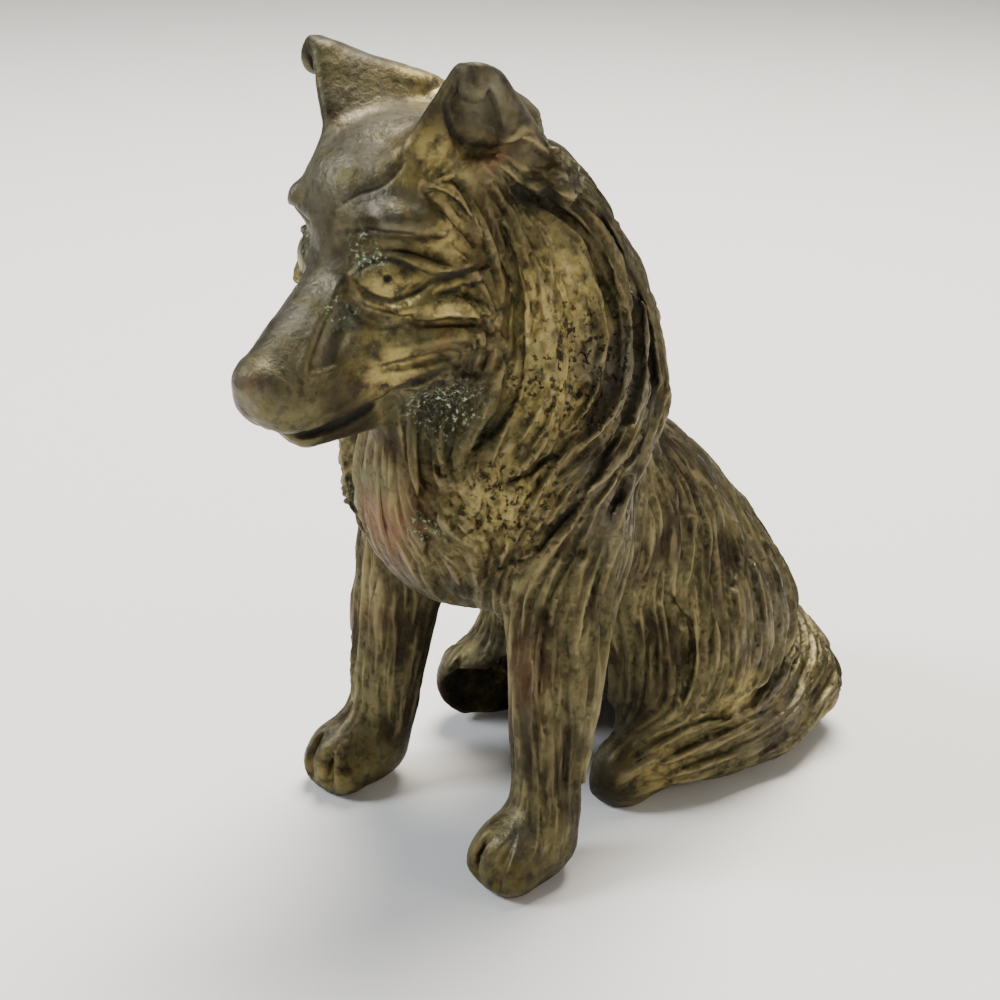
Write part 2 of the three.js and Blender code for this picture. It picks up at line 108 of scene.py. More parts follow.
class Limb:
    """A chain of tapered round stretches through joints (x, y, z, radius)."""

    def __init__(self, *joints: Point) -> None:
        """Keeps the joints."""
        self.joints = np.asarray(joints, np.float32)

    def distance(self, p: Array) -> Array:
        """Measures how far points lie from the skin.

        Args:
            p: The points.

        Returns:
            The distance of each point, below zero inside.
        """
        least = np.full(p.shape[:-1], 1e6, np.float32)
        for start, end in zip(self.joints[:-1], self.joints[1:]):
            along = end[:3] - start[:3]
            away = p - start[:3]
            t = np.clip((away @ along) / max(float(along @ along), 1e-9), 0, 1)
            away -= t[..., None] * along
            least = np.minimum(least, np.sqrt((away * away).sum(-1)) - mix(start[3], end[3], t))
        return least


class Wedge:
    """A four-cornered solid with its edges rounded by soft."""

    def __init__(self, corners: Sequence[Point], soft: float) -> None:
        """Works out the four faces.

        Args:
            corners: The four corners.
            soft: How far the edges are rounded.
        """
        c = np.asarray(corners, np.float32)
        middle = c.mean(0)
        self.soft = soft
        self.sides: list[tuple[Array, float]] = []
        for i, j, k in ((0, 1, 2), (0, 1, 3), (0, 2, 3), (1, 2, 3)):
            normal = unit_rows(np.cross(c[j] - c[i], c[k] - c[i]))
            level = float(normal @ c[i])
            sign = -1.0 if float(normal @ middle) > level else 1.0
            self.sides.append((normal * sign, level * sign))

    def distance(self, p: Array) -> Array:
        """Measures how far points lie from the skin.

        Args:
            p: The points.

        Returns:
            The distance of each point, below zero inside.
        """
        most = np.full(p.shape[:-1], -1e3, np.float32)
        for normal, level in self.sides:
            d = p @ normal - level
            h = np.maximum(self.soft - np.abs(most - d), 0) / self.soft
            most = np.maximum(most, d) + h * h * self.soft * 0.25
        return most


@dataclass(frozen=True)
class Step:
    """One body added to the figure or cut from it, with a soft join.

    Attributes:
        body: The body.
        soft: How softly it meets the figure.
        cutting: Whether it is cut away.
        paired: Whether it stands on both sides of the dog.
    """

    body: Ball | Limb | Wedge
    soft: float
    cutting: bool = False
    paired: bool = False

    def own(self, p: Array) -> Array:
        """Measures the body alone, or its nearer copy when it is paired.

        Args:
            p: The points.

        Returns:
            The distance of each point from the body.
        """
        if self.paired:
            p = np.concatenate([np.abs(p[..., :1]), p[..., 1:]], axis=-1)
        return self.body.distance(p)

    def join(self, d: Array, own: Array) -> Array:
        """Joins the body's distances to those of the figure so far.

        Args:
            d: The figure's distances.
            own: The body's distances at the same points.

        Returns:
            The distances of the joined figure.
        """
        other = -own if self.cutting else own
        h = np.maximum(self.soft - np.abs(d - other), 0) / self.soft
        blend = h * h * (self.soft * 0.25)
        return np.maximum(d, other) + blend if self.cutting else np.minimum(d, other) - blend


def ball(centre: Point, half: Point, tilt: float = 0.0, turn: float = 0.0) -> Ball:
    """Makes an ellipsoid."""
    return Ball(centre, half, tilt, turn)


def limb(*joints: Point) -> Limb:
    """Makes a chain of tapered stretches."""
    return Limb(*joints)


def wedge(corners: Sequence[Point], soft: float) -> Wedge:
    """Makes a rounded four-cornered solid."""
    return Wedge(corners, soft)


def add(body: Ball | Limb | Wedge, soft: float = 2.0) -> Step:
    """Adds a body."""
    return Step(body, soft)


def cut(body: Ball | Limb | Wedge, soft: float = 1.0) -> Step:
    """Cuts a body away."""
    return Step(body, soft, cutting=True)


def pair(step: Step) -> Step:
    """Makes a step on both sides."""
    return Step(step.body, step.soft, step.cutting, True)


def measure(steps: Sequence[Step], p: Array) -> Array:
    """Measures how far points lie from the skin of a figure.

    Args:
        steps: The figure's steps, in order.
        p: The points.

    Returns:
        The distance of each point, below zero inside.
    """
    d = np.full(len(p), 1e3, np.float32)
    for step in steps:
        d = step.join(d, step.own(p))
    return d


class Coat:
    """The smooth skin under the hair, on which the locks are laid."""

    def __init__(self, steps: Sequence[Step]) -> None:
        """Keeps the skin's steps and an empty list of the lines of hair."""
        self.steps = steps
        self.lines: list[Array] = []

    def mirror(self) -> None:
        """Copies the lines of hair so far onto the other side."""
        self.lines += [line * np.asarray([-1, 1, 1], np.float32) for line in self.lines]

    def lay(self, p: Array, rise: Array) -> Array:
        """Moves points straight onto the skin and then out of it.

        Args:
            p: The points.
            rise: How far each one ends up outside the skin.

        Returns:
            The moved points.
        """
        for _ in range(5):
            here = measure(self.steps, p)
            beside = [p + step for step in np.eye(3, dtype=np.float32) * 0.2]
            slope = np.stack([measure(self.steps, spot) - here for spot in beside], -1)
            p = p - unit_rows(slope) * (here - rise)[:, None]
        return p

    def stroke(self, line: Line, width: float, depth: float, stops: int = 8) -> Limb:
        """Lays a tapered stroke of hair along a line.

        Args:
            line: Points near the skin.
            width: Radius of the stroke at its thickest.
            depth: How far the middle of the stroke is sunk.
            stops: Stretches in the stroke.

        Returns:
            The stroke's body.
        """
        share = np.linspace(0, 1, stops + 1)
        swell = np.sqrt(np.sin(math.pi * mix(0.06, 0.96, share))).astype(np.float32)
        laid = self.lay(curve(line, share), -depth * swell)
        self.lines.append(laid)
        return Limb(*np.concatenate([laid, width * swell[:, None]], axis=1))

    def ridge(self, line: Line, width: float) -> Step:
        """Adds a lock of a given radius that stands out of the skin."""
        return add(self.stroke(line, width, 0.4 * width), 0.5)

    def groove(self, line: Line, width: float) -> Step:
        """Cuts a groove of a given radius along a line of the skin."""
        return cut(self.stroke(line, width, 0.0), 0.5)

    def sheaf(self, first: Line, last: Line, count: int, width: float) -> list[Step]:
        """Lays locks side by side.

        Args:
            first: Line of the first lock.
            last: Line of the last lock, with as many points.
            count: Number of locks.
            width: Radius of a lock.

        Returns:
            The locks.
        """
        a, b = np.asarray(first, np.float32), np.asarray(last, np.float32)
        return [self.ridge(mix(a, b, i / (count - 1)), width) for i in range(count)]


def curve(line: Line, share: Array) -> Array:
    """Gives points on a uniform Catmull-Rom curve through a line's points.

    Args:
        line: The points that the curve passes through.
        share: Places along the curve, from 0 to 1.

    Returns:
        One point for each share.
    """
    p = np.asarray(line, np.float32)
    p = np.concatenate([[2 * p[0] - p[1]], p, [2 * p[-1] - p[-2]]])
    place = share * (len(line) - 1)
    i = np.minimum(place.astype(int), len(line) - 2)
    t = (place - i)[:, None]
    before, start, end, after = p[i], p[i + 1], p[i + 2], p[i + 3]
    v0, v1 = (end - before) * 0.5, (after - start) * 0.5
    return (
        (2 * start - 2 * end + v0 + v1) * t**3
        + (3 * end - 3 * start - 2 * v0 - v1) * t**2
        + v0 * t
        + start
    ).astype(np.float32)


def mirrored(line: Line) -> Line:
    """Gives a line's mirror image across the middle of the dog."""
    return [[-x, y, z] for x, y, z in line]


@dataclass
class Trunk:
    """Neck, back, breast and rump.

    Attributes:
        breast: Half sizes of the breast.
        rump: Half sizes of the rump.
    """

    breast: Point = (15.6, 17.2, 20.5)
    rump: Point = (18.6, 20.4, 15.5)

    def steps(self) -> list[Step]:
        """Gives the trunk's bodies.

        Returns:
            The bodies, each as a step.
        """
        return [
            # neck
            add(limb([0, -13.5, 78, 12.5], [0, -10, 74, 15], [0, -6.4, 65, 17.4],
                [0, -5.2, 58.6, 18.5], [0, -8, 51, 15.6]), 2),
            # back
            add(limb([0, -7, 52, 15.4], [0, 2.6, 41.6, 15], [0, 13, 33, 16.6], [0, 22, 23, 17.6]), 3),
            add(ball([0, -10.2, 51], self.breast, -4), 4),  # breast
            add(ball([0, 25, 14.5], self.rump), 5),  # rump
        ]


@dataclass
class Head:
    """Skull, muzzle and ears.

    Attributes:
        eye_turn: How far the eyes look outwards, in degrees.
        ear_edge: How far the edges of the ears are rounded.
        crack: Radius of the crack in the forehead.
        seam: Radius of the seam of the breast.
    """

    eye_turn: float = 41.0
    ear_edge: float = 2.6
    crack: float = 0.14
    seam: float = 0.5

    def steps(self) -> list[Step]:
        """Gives the head's bodies.

        Returns:
            The bodies, each as a step.
        """
        return [
            add(ball([0, -20.5, 80.6], [11.4, 13, 11.3]), 5),  # skull
            add(ball([0, -26, 83.3], [9, 6.3, 6.3]), 4),  # forehead
            pair(add(ball([6.5, -21.5, 71], [6.6, 11, 8.6], 10), 4)),  # cheeks
            add(limb([0, -29, 73.6, 5.8], [0, -41.6, 65.7, 4]), 4),  # bridge of the muzzle
            pair(add(limb([4, -28, 68.5, 4.6], [1.9, -41, 63.8, 2.8]), 3)),  # lips
            add(limb([0, -20, 63.2, 5.6], [0, -37.2, 60.6, 3]), 3),  # lower jaw
            add(ball([0, -43.6, 66.6], [2.7, 2.6, 2.4]), 1),  # nose
            # ears
            pair(add(wedge([[13.9, -26.2, 102.6], [4.4, -30.5, 87], [1.6, -10, 95.8],
                [16, -12.5, 84.5]], self.ear_edge), 2)),
        ]

    def carving(self, coat: Coat) -> list[Step]:
        """Gives what is carved into the head, the same on both sides.

        Args:
            coat: The skin under the hair.

        Returns:
            The carving, as steps.
        """
        ridge, groove = coat.ridge, coat.groove
        return [
            pair(step)
            for step in [
                # brow
                add(limb([2.4, -32.4, 82.2, 1.4], [6.8, -30.9, 82.7, 2], [9.9, -27.6, 82.4, 1.7]), 1),
                # under the brow
                cut(limb([2.6, -35.2, 79, 1.5], [6.8, -33.6, 79.5, 2.1], [11.4, -28.4, 79.4, 1.6]),
                    0.7),
                cut(ball([8.2, -32.6, 76.8], [5, 3.2, 3.5], 0, self.eye_turn), 0.8),  # eye socket
                add(ball([6.1, -30.2, 76.7], [3.3, 1.6, 1.8], 0, self.eye_turn), 0.3),  # eye
                # upper lid
                add(limb([3.8, -33.6, 76.6, 0.4], [6.1, -31.4, 78.4, 0.8], [8.3, -29.5, 78.4, 0.8],
                    [10.2, -27.2, 77.6, 0.7], [12.6, -22.4, 77.2, 0.4]), 0.4),
                # lower lid
                add(limb([4.2, -33.2, 76.2, 0.5], [5.6, -32, 75, 0.75], [7.4, -30.8, 74.4, 0.8],
                    [9.2, -28.9, 75, 0.7], [10.8, -26.8, 76.4, 0.4]), 0.4),
                # under the lid
                groove([[3.8, -34.4, 75], [5.6, -33, 73.2], [8, -31.2, 72.8], [10, -29.2, 73.9]], 1),
                # tear hollow
                cut(limb([4.1, -35.1, 75.6, 1.1], [5.2, -37.1, 72.1, 2.1], [5.8, -39.1, 69.2, 2]), 0.6),
                # cheek locks
                ridge([[8.4, -30.8, 73.4], [11.2, -27.7, 74.4], [13.4, -23.6, 73.2], [14, -20, 71.6]],
                    1.1),
                groove([[8.2, -31, 71.6], [11.6, -27.9, 72.5], [13.8, -23.6, 71.4]], 0.6),
                ridge([[8, -31.4, 69.6], [11.6, -27, 70.7], [13.8, -22, 69.4], [14.4, -19.4, 68]], 1.2),
                groove([[7, -32.6, 67.4], [10.6, -27.8, 68.6], [13.2, -23, 67.8]], 0.7),
                # mouth
                groove([[0.4, -42.4, 61.2], [2.8, -39.4, 61], [4.4, -34.6, 61.2], [7.2, -29.6, 63.2],
                    [11.2, -25.6, 66]], 0.85),
                # lip
                ridge([[3, -40, 62.6], [4.8, -35, 63.2], [7.6, -29.8, 65.4], [10.4, -26.8, 67.4]], 0.9),
                cut(ball([12.2, -23.8, 66.4], [1.9, 2.6, 1.9]), 0.8),  # corner of the mouth
                cut(ball([2.6, -46.8, 67.2], [1.5, 1.2, 1.2]), 0.2),  # chipped nose
                groove([[9.9, -28.4, 86.4], [11.6, -25.2, 83.2], [12.4, -22.8, 79.6]], 1.1),  # temple
                # hollow of the ear
                cut(limb([12, -24.9, 97.4, 1.2], [12.3, -24.5, 93.8, 2.6], [12.1, -23.4, 90.4, 3]),
                    0.5),
            ]
        ]

    def swelling(self) -> list[Step]:
        """Gives the eyeballs, the roots of the ears and the lowered corners of their plates.

        Returns:
            Their steps.
        """
        return [
            pair(add(ball([6.4, -30.4, 76.6], [3.6, 1.75, 2.3], 0, self.eye_turn), 0.4)),
            pair(add(limb([2.5, -14, 90.5, 2], [6, -12, 90, 3]), 2)),
            pair(add(ball([12.1, -24.6, 96.6], [1.7, 1.6, 2.1]), 0.6)),
            pair(add(limb([12, -10.2, 84.8, 2], [13.4, -14.4, 87, 1.9]), 1)),
            pair(cut(limb([14.4, -26.8, 110.5, 9], [7.6, -17.9, 105.4, 9], [0.7, -8.8, 101.9, 9]), 1.4)),
        ]

    def rims(self, shell: Coat) -> list[Step]:
        """Gives the raised rims of the eyelids and of the hollow beside the muzzle.

        Args:
            shell: The head as carved so far.

        Returns:
            The rims.
        """
        ridge = shell.ridge
        rims = [
            # rim under the eye
            ridge([[4.3, -33.7, 75.8], [5.4, -33.2, 74.2], [7, -32, 73.5], [8.8, -30.2, 73.9],
                [10.6, -27.6, 75.8]], 0.55),
            # rim over the eye
            ridge([[4.2, -33.7, 77.7], [5.4, -32.8, 79], [7.2, -31.3, 79.6], [9.2, -29.3, 78.9],
                [11, -26.6, 77.6]], 0.5),
            # rim of the tear hollow
            ridge([[3.5, -35.8, 76.4], [4.1, -37.8, 73], [4.3, -40.6, 69.4], [5.4, -41.2, 67.8],
                [6.8, -38.6, 68.6]], 0.5),
            # lock under the eye
            ridge([[9.4, -29.4, 72.6], [12, -26.2, 73.2], [13.6, -22.4, 72.6]], 0.65),
        ]
        return [pair(step) for step in rims]

    def slits(self, shell: Coat) -> list[Step]:
        """Gives the fine dark lines of the face, and the crack in the forehead.

        Args:
            shell: The head as carved so far, with its rims.

        Returns:
            The lines, as cuts.
        """
        groove = shell.groove
        slits = [
            # over the eye
            groove([[4, -33.6, 76.8], [4.9, -32.9, 77.9], [6.5, -31.8, 78.7], [8.1, -30.5, 78.4],
                [9.9, -28.2, 76.7]], 0.34),
            # under the eye
            groove([[4.1, -33.6, 76.5], [5.1, -33.2, 75.1], [6.7, -32.1, 74.4], [8.2, -30.6, 74.7],
                [9.9, -28.2, 76.5]], 0.34),
            # under the rim
            groove([[4.2, -34.4, 74.4], [5.7, -33.8, 72.7], [7.7, -32.2, 72.1], [9.8, -29.6, 72.4]],
                0.4),
            groove([[9.9, -28.2, 76.6], [11.3, -26, 77], [12.4, -23, 77.6]], 0.36),  # wrinkles
            groove([[10.4, -28, 75], [11.8, -25.6, 75.6], [12.8, -22.6, 76]], 0.3),
            groove([[9.6, -29.4, 71.4], [12.2, -26, 72], [13.8, -22.2, 71.4]], 0.28),  # under the lock
            # edge of the brow
            groove([[3, -34, 81], [5.2, -33.6, 81.4], [7.6, -32.6, 81.4], [9.7, -30.4, 81.2]], 0.26),
            # mouth
            groove([[1.6, -43.2, 60.8], [2.1, -40, 60.1], [3.3, -35.8, 60.7], [5.2, -32.2, 62.2],
                [8.2, -30.6, 64.6], [10.5, -28.9, 66.1], [11.6, -26.6, 67]], 0.7),
            groove([[11.6, -25.6, 96.8], [10.4, -26.3, 94.6], [9.4, -24.6, 91.4], [9.8, -22.2, 89.9],
                [11.6, -20.5, 89.8]], 0.45),  # edge of the ear's hollow
        ]
        pupil = cut(ball([7.3, -31.9, 76.8], [0.4, 0.5, 0.36]), 0.3)
        crack: Line = [
            [2.3, -33.2, 84.1], [3.8, -32.4, 85.2], [5.5, -31.2, 85.9],
            [6.3, -29.9, 87.1], [6.6, -28.8, 88.4],
        ]
        seam: Line = [[5.4, -26, 60], [6.6, -26.2, 52], [6.4, -24.6, 44], [4.2, -20.4, 36]]
        middle = [groove(crack, self.crack), groove(seam, self.seam)]
        return [*[pair(step) for step in [*slits, pupil]], *middle]


@dataclass
class Legs:
    """Forelegs, thighs and feet.

    Attributes:
        paw: Half sizes of a forepaw.
        toe: Radius of the row of toes.
        thigh: Half sizes of a thigh.
        thigh_lean: How far a thigh leans back, in degrees.
    """

    paw: Point = (4.8, 5.8, 5.2)
    toe: float = 2.4
    thigh: Point = (9, 14.5, 15.5)
    thigh_lean: float = -20.0

    def steps(self) -> list[Step]:
        """Gives the bodies of the legs.

        Returns:
            The bodies, each as a step.
        """
        return [
            # left
            add(limb([12.5, -8, 40, 7.6], [15, -12.5, 26, 5.6], [15.5, -14, 12, 4.4],
                [16, -15, 5, 4.4]), 5),
            # right
            add(limb([-11.7, -8.5, 40, 7.4], [-13.2, -12, 26, 5.4], [-14.6, -13.2, 12, 4.6],
                [-15, -15, 5, 4.6]), 5),
            add(ball([15.2, -18.8, 4.2], self.paw), 2.5),  # left forepaw
            add(limb([12.8, -21.2, 3, self.toe], [17.2, -21.4, 3, self.toe]), 2),  # its toes
            add(ball([-16.4, -18.6, 4.2], self.paw), 2.5),  # right forepaw
            add(limb([-13.8, -21.2, 3, self.toe], [-18, -21.2, 3, self.toe]), 2),  # its toes
            pair(add(ball([13, 20, 17], self.thigh, self.thigh_lean), 5)),  # thighs
            add(limb([12, 14, 7, 6.5], [11.8, 4.9, 4.2, 5.2]), 4),  # left hind foot
            add(limb([-14, 14, 7, 6.5], [-14.4, 4.8, 7, 6.4]), 4),  # right hind foot
        ]

    def carving(self) -> list[Step]:
        """Gives the cuts between the toes and before the thighs.

        Returns:
            The cuts.
        """
        return [
            pair(step)
            for step in [
                # toes of the forepaws
                cut(limb([17.2, -25.2, 0, 1], [17.4, -24, 4.6, 0.7], [17.4, -21.5, 8.4, 0.3]), 0.5),
                cut(limb([13.6, -24.6, 0, 0.7], [14, -23.6, 4, 0.5], [14.6, -21.4, 7.6, 0.2]), 0.5),
                # toes of the hind feet
                cut(limb([15.4, -2, 0, 0.8], [15.2, -1.6, 6, 0.7], [14.6, 1.2, 12.4, 0.3]), 0.5),
                # before the thigh
                cut(limb([17.2, 4, 30, 2], [17.4, 3.4, 22, 3], [18.6, 3, 16.6, 2]), 3),
            ]
        ]

    def clefts(self) -> list[Step]:
        """Gives the sharper clefts of the toes and the flat tops of the forepaws.

        Returns:
            The cuts.
        """
        return [
            pair(cut(limb([17.2, -25.6, 0, 1.2], [17.5, -24.6, 4.6, 0.9], [17.4, -22.4, 8.4, 0.5]), 0.3)),
            pair(cut(limb([13.4, -25, 0, 0.9], [13.8, -24.3, 4, 0.7], [14.6, -22.6, 8.6, 0.4]), 0.3)),
            pair(cut(limb([15.4, -2.4, 0, 1.1], [15.2, -2, 6, 0.9], [14.6, 1, 12.4, 0.4]), 0.3)),
            pair(cut(ball([15.6, -24.4, 11.8], [3.4, 4.2, 3.4], -30), 0.8)),
        ]


@dataclass
class Tail:
    """The brush laid round the left side.

    Attributes:
        locks: Number of its locks.
        lock: Radius of a lock.
    """

    locks: int = 4
    lock: float = 1.2

    def steps(self) -> list[Step]:
        """Gives the tail's body.

        Returns:
            The body, as a step.
        """
        return [
            add(limb([6, 38.5, 12, 8], [15.6, 37, 7, 7.2], [18.6, 27, 5, 5.2], [17.6, 17, 5, 4.4],
                [15.5, 8, 6, 3.4]), 2),
        ]

    def carving(self, coat: Coat) -> list[Step]:
        """Gives the tail's locks and the groove above it.

        Args:
            coat: The skin under the hair.

        Returns:
            The carving, as steps.
        """
        sheaf, groove = coat.sheaf, coat.groove
        return [
            *sheaf(
                [[13, 44, 13], [20, 38, 8], [23.4, 26, 4], [22, 15, 3.4], [19, 7, 3.6]],
                [[12, 42, 20], [19, 32, 14.6], [21, 20, 11.6], [19.4, 11, 11.2], [17, 6, 9]],
                self.locks, self.lock,
            ),
            # where the tail leaves the haunch
            groove([[11, 42, 22], [19.4, 31, 16.4], [21, 19, 13], [19, 10, 12.6]], 1.2),
        ]


@dataclass
class Underside:
    """The open recess of the hollow casting.

    Attributes:
        edge: How softly its halves meet the soles.
    """

    edge: float = 1.2

    def steps(self) -> list[Step]:
        """Gives the cuts that make the recess.

        Returns:
            The cuts.
        """
        return [
            # right half
            cut(limb([-12.4, -5, 5, 5.2], [-12.2, 4, 5.6, 5.6], [-8, 12, 7.5, 7.6],
                [-5, 22, 8.5, 9.6]), self.edge),
            # left half
            cut(limb([3, -4, 4, 6], [4, 6, 6, 7], [5.4, 14, 8, 8], [5, 22, 8.5, 9.6]), self.edge),
            # middle
            cut(limb([-3, -6, 4.6, 7], [-2.6, 6, 7, 8], [0, 14, 9.5, 10], [0, 24, 9.5, 10.6]), 1.5),
        ]


@dataclass
class Hair:
    """The carved locks of the mane, the flanks, the haunches and the forelegs.

    Attributes:
        great: Radius of a lock from behind the ear down to the breast.
        side: Radius of a lock behind the cheek.
        ruff: Radius of a lock of the ruff.
        flank: Radius of a lock of the flank.
        haunch: Radius of a lock of the haunch.
        shoulder: Radius of a lock of the shoulder.
    """

    great: float = 1.35
    side: float = 1.3
    ruff: float = 1.2
    flank: float = 1.1
    haunch: float = 1.2
    shoulder: float = 1.2

    def carving(self, coat: Coat) -> list[Step]:
        """Gives the locks, laid on the coat.

        Args:
            coat: The skin under the hair, which keeps the lines of the locks.

        Returns:
            The carving, as steps.
        """
        sheaf, ridge, groove = coat.sheaf, coat.ridge, coat.groove
        locks = [
            pair(step)
            for step in [
                *sheaf(
                    [[12.6, -15, 88.5], [11.4, -3.5, 81.2], [12.5, 3.5, 70], [14, 4.5, 57],
                        [16.3, 0, 49.4], [18, -9.4, 44], [12, -17, 36]],
                    [[11.8, -18, 85.3], [13, -8.5, 81.5], [15.3, -4, 71.9], [16.6, -5, 64],
                        [17, -9, 58.5], [16, -15, 56], [12, -20, 52]],
                    5, self.great,
                ),  # the great locks from behind the ear down to the breast
                *sheaf(
                    [[12.1, -19.5, 82], [13.6, -18.5, 75], [13.4, -18.5, 64], [10.6, -22, 54]],
                    [[13, -15.5, 80], [15.2, -12.8, 70], [16, -13, 60], [14, -18, 54]],
                    3, self.side,
                ),  # behind the cheek
                *sheaf(
                    [[12.8, -20, 66], [10.4, -21.6, 59], [8, -24.4, 50], [7.4, -21, 39]],
                    [[15, -17, 51], [14, -18, 47], [12.5, -19, 43], [10, -19, 37]],
                    4, self.ruff,
                ),  # ruff
                *sheaf(
                    [[9, 15, 50], [13, 17.5, 44], [15.4, 21, 36], [17, 19, 29]],
                    [[13, 4, 53], [14, 7.5, 48.8], [15.6, 8.4, 39], [15.5, 7, 30]],
                    5, self.flank,
                ),  # flank
                *sheaf(
                    [[15, 34, 29], [18, 33.5, 23], [19, 32, 16]],
                    [[16.6, 10, 29], [18.3, 9, 23], [18.6, 8, 16]],
                    7, self.haunch,
                ),  # haunch
                # hollow side of the mane
                cut(limb([14.6, -13.4, 79, 1.6], [17.2, -11, 71, 3], [18.2, -12, 63, 3],
                    [17.6, -14.6, 57.6, 2]), 1),
                ridge([[12, -18.3, 83.3], [13.8, -17.3, 77.5], [15, -14.4, 71.6], [15.7, -14.6, 61.6],
                    [15.3, -16.6, 57.2], [13.4, -20.1, 53.4]], 1.3),
                groove([[12, -17.2, 84.7], [13.2, -10.5, 81.2], [15.6, -6, 73], [17.9, -7.7, 62.8],
                    [18.1, -11.4, 57.8], [13.9, -19.8, 52.7]], 1.1),
                groove([[13.7, -12.9, 85.4], [12.8, -3.3, 78.8], [17, -2.4, 68], [19, -5.3, 57.8],
                    [16.2, -13.9, 47], [12, -19.2, 41]], 0.9),
                groove([[12.2, -4.4, 81.2], [15.4, -0.6, 71.4], [17.6, -0.2, 60], [17.6, -5, 47.4],
                    [19.3, -11.1, 42.2]], 0.8),
                groove([[12.5, -19.9, 80.9], [13.8, -19.2, 70], [13.3, -19.2, 62],
                    [10.7, -22.9, 56.4]], 1),
                # tufts of the breast
                ridge([[6.7, -25, 49.8], [9.7, -24.3, 53.2], [12.5, -21.6, 53.3], [13.9, -20.1, 50.6]],
                    1.5),
                ridge([[6.6, -24.6, 43.6], [10.3, -23.2, 45.5], [12.8, -20.8, 47]], 1.6),
                # front edge of the haunch
                groove([[15.5, 7.9, 29.2], [17.6, 8.9, 25.4], [18.6, 8.5, 20.9], [18.4, 8.4, 15]], 1.4),
                # seam of the breast
                groove([[5.6, -25.6, 58], [6.8, -25.8, 50], [6.2, -24, 42], [4, -19.5, 34.8]], 1.2),
            ]
        ]
        coat.mirror()
        shoulder: list[Line] = [
            [[15.3, 3.9, 50.6], [19.3, -6.8, 43.3], [20.2, -9.4, 34.6], [20.5, -11, 24.9],
                [19.5, -12, 13]],
            [[15.6, -15.4, 41], [16.5, -17, 35], [16.7, -18, 30], [17.6, -18, 23], [18.6, -17, 13]],
        ]
        return [
            *locks,
            *sheaf(*shoulder, 5, self.shoulder),
            *sheaf(*[mirrored(line) for line in shoulder], 5, self.shoulder),
        ]


class Lattice:
    """A seeded table of smooth random values, repeated through space."""

    def __init__(self, seed: int, size: int = 48) -> None:
        """Fills the table."""
        self.size = size
        self.table = np.random.default_rng(seed).random((size, size, size), dtype=np.float32) * 2 - 1

    def at(self, p: Array) -> Array:
        """Reads the noise, whose cells have size one.

        Args:
            p: The points.

        Returns:
            One value between -1 and 1 for each point.
        """
        base = np.floor(p)
        t = (p - base).astype(np.float32)
        t = t * t * (3 - 2 * t)
        i = base.astype(np.int32) % self.size
        ends = (i, (i + 1) % self.size)
        shares = (1 - t, t)
        total = np.zeros(len(p), np.float32)
        for a, b, c in np.ndindex(2, 2, 2):
            found = self.table[ends[a][:, 0], ends[b][:, 1], ends[c][:, 2]]
            total += found * (shares[a][:, 0] * shares[b][:, 1]) * shares[c][:, 2]
        return total


class Grid:
    """Values kept on an even grid of points and read anywhere between them."""

    def __init__(self, low: Array, pitch: float, values: Array) -> None:
        """Keeps the grid's corner, its pitch and its values."""
        self.low, self.pitch, self.values = np.asarray(low, np.float32), pitch, values

    def at(self, p: Array) -> Array:
        """Reads the values, each blended from the eight nodes round a point.

        Args:
            p: The points.

        Returns:
            The value, or the row of values, at each point.
        """
        place = (p - self.low) / self.pitch
        top = np.asarray(self.values.shape[:3]) - 2
        base = np.clip(np.floor(place).astype(np.int32), 0, top)
        t = np.clip(place - base, 0, 1).astype(np.float32)
        total: Any = 0.0
        for corner in np.ndindex(2, 2, 2):
            weight = np.prod([t[:, a] if c else 1 - t[:, a] for a, c in enumerate(corner)], axis=0)
            found = self.values[base[:, 0] + corner[0], base[:, 1] + corner[1], base[:, 2] + corner[2]]
            total = total + (found * weight if found.ndim == 1 else found * weight[:, None])
        return total

    def slope(self, p: Array, step: float) -> Array:
        """Gives the unit direction in which the value grows fastest at each point in p."""
        eye = np.eye(3, dtype=np.float32) * step
        return unit_rows(np.stack([self.at(p + eye[a]) - self.at(p - eye[a]) for a in range(3)], -1))


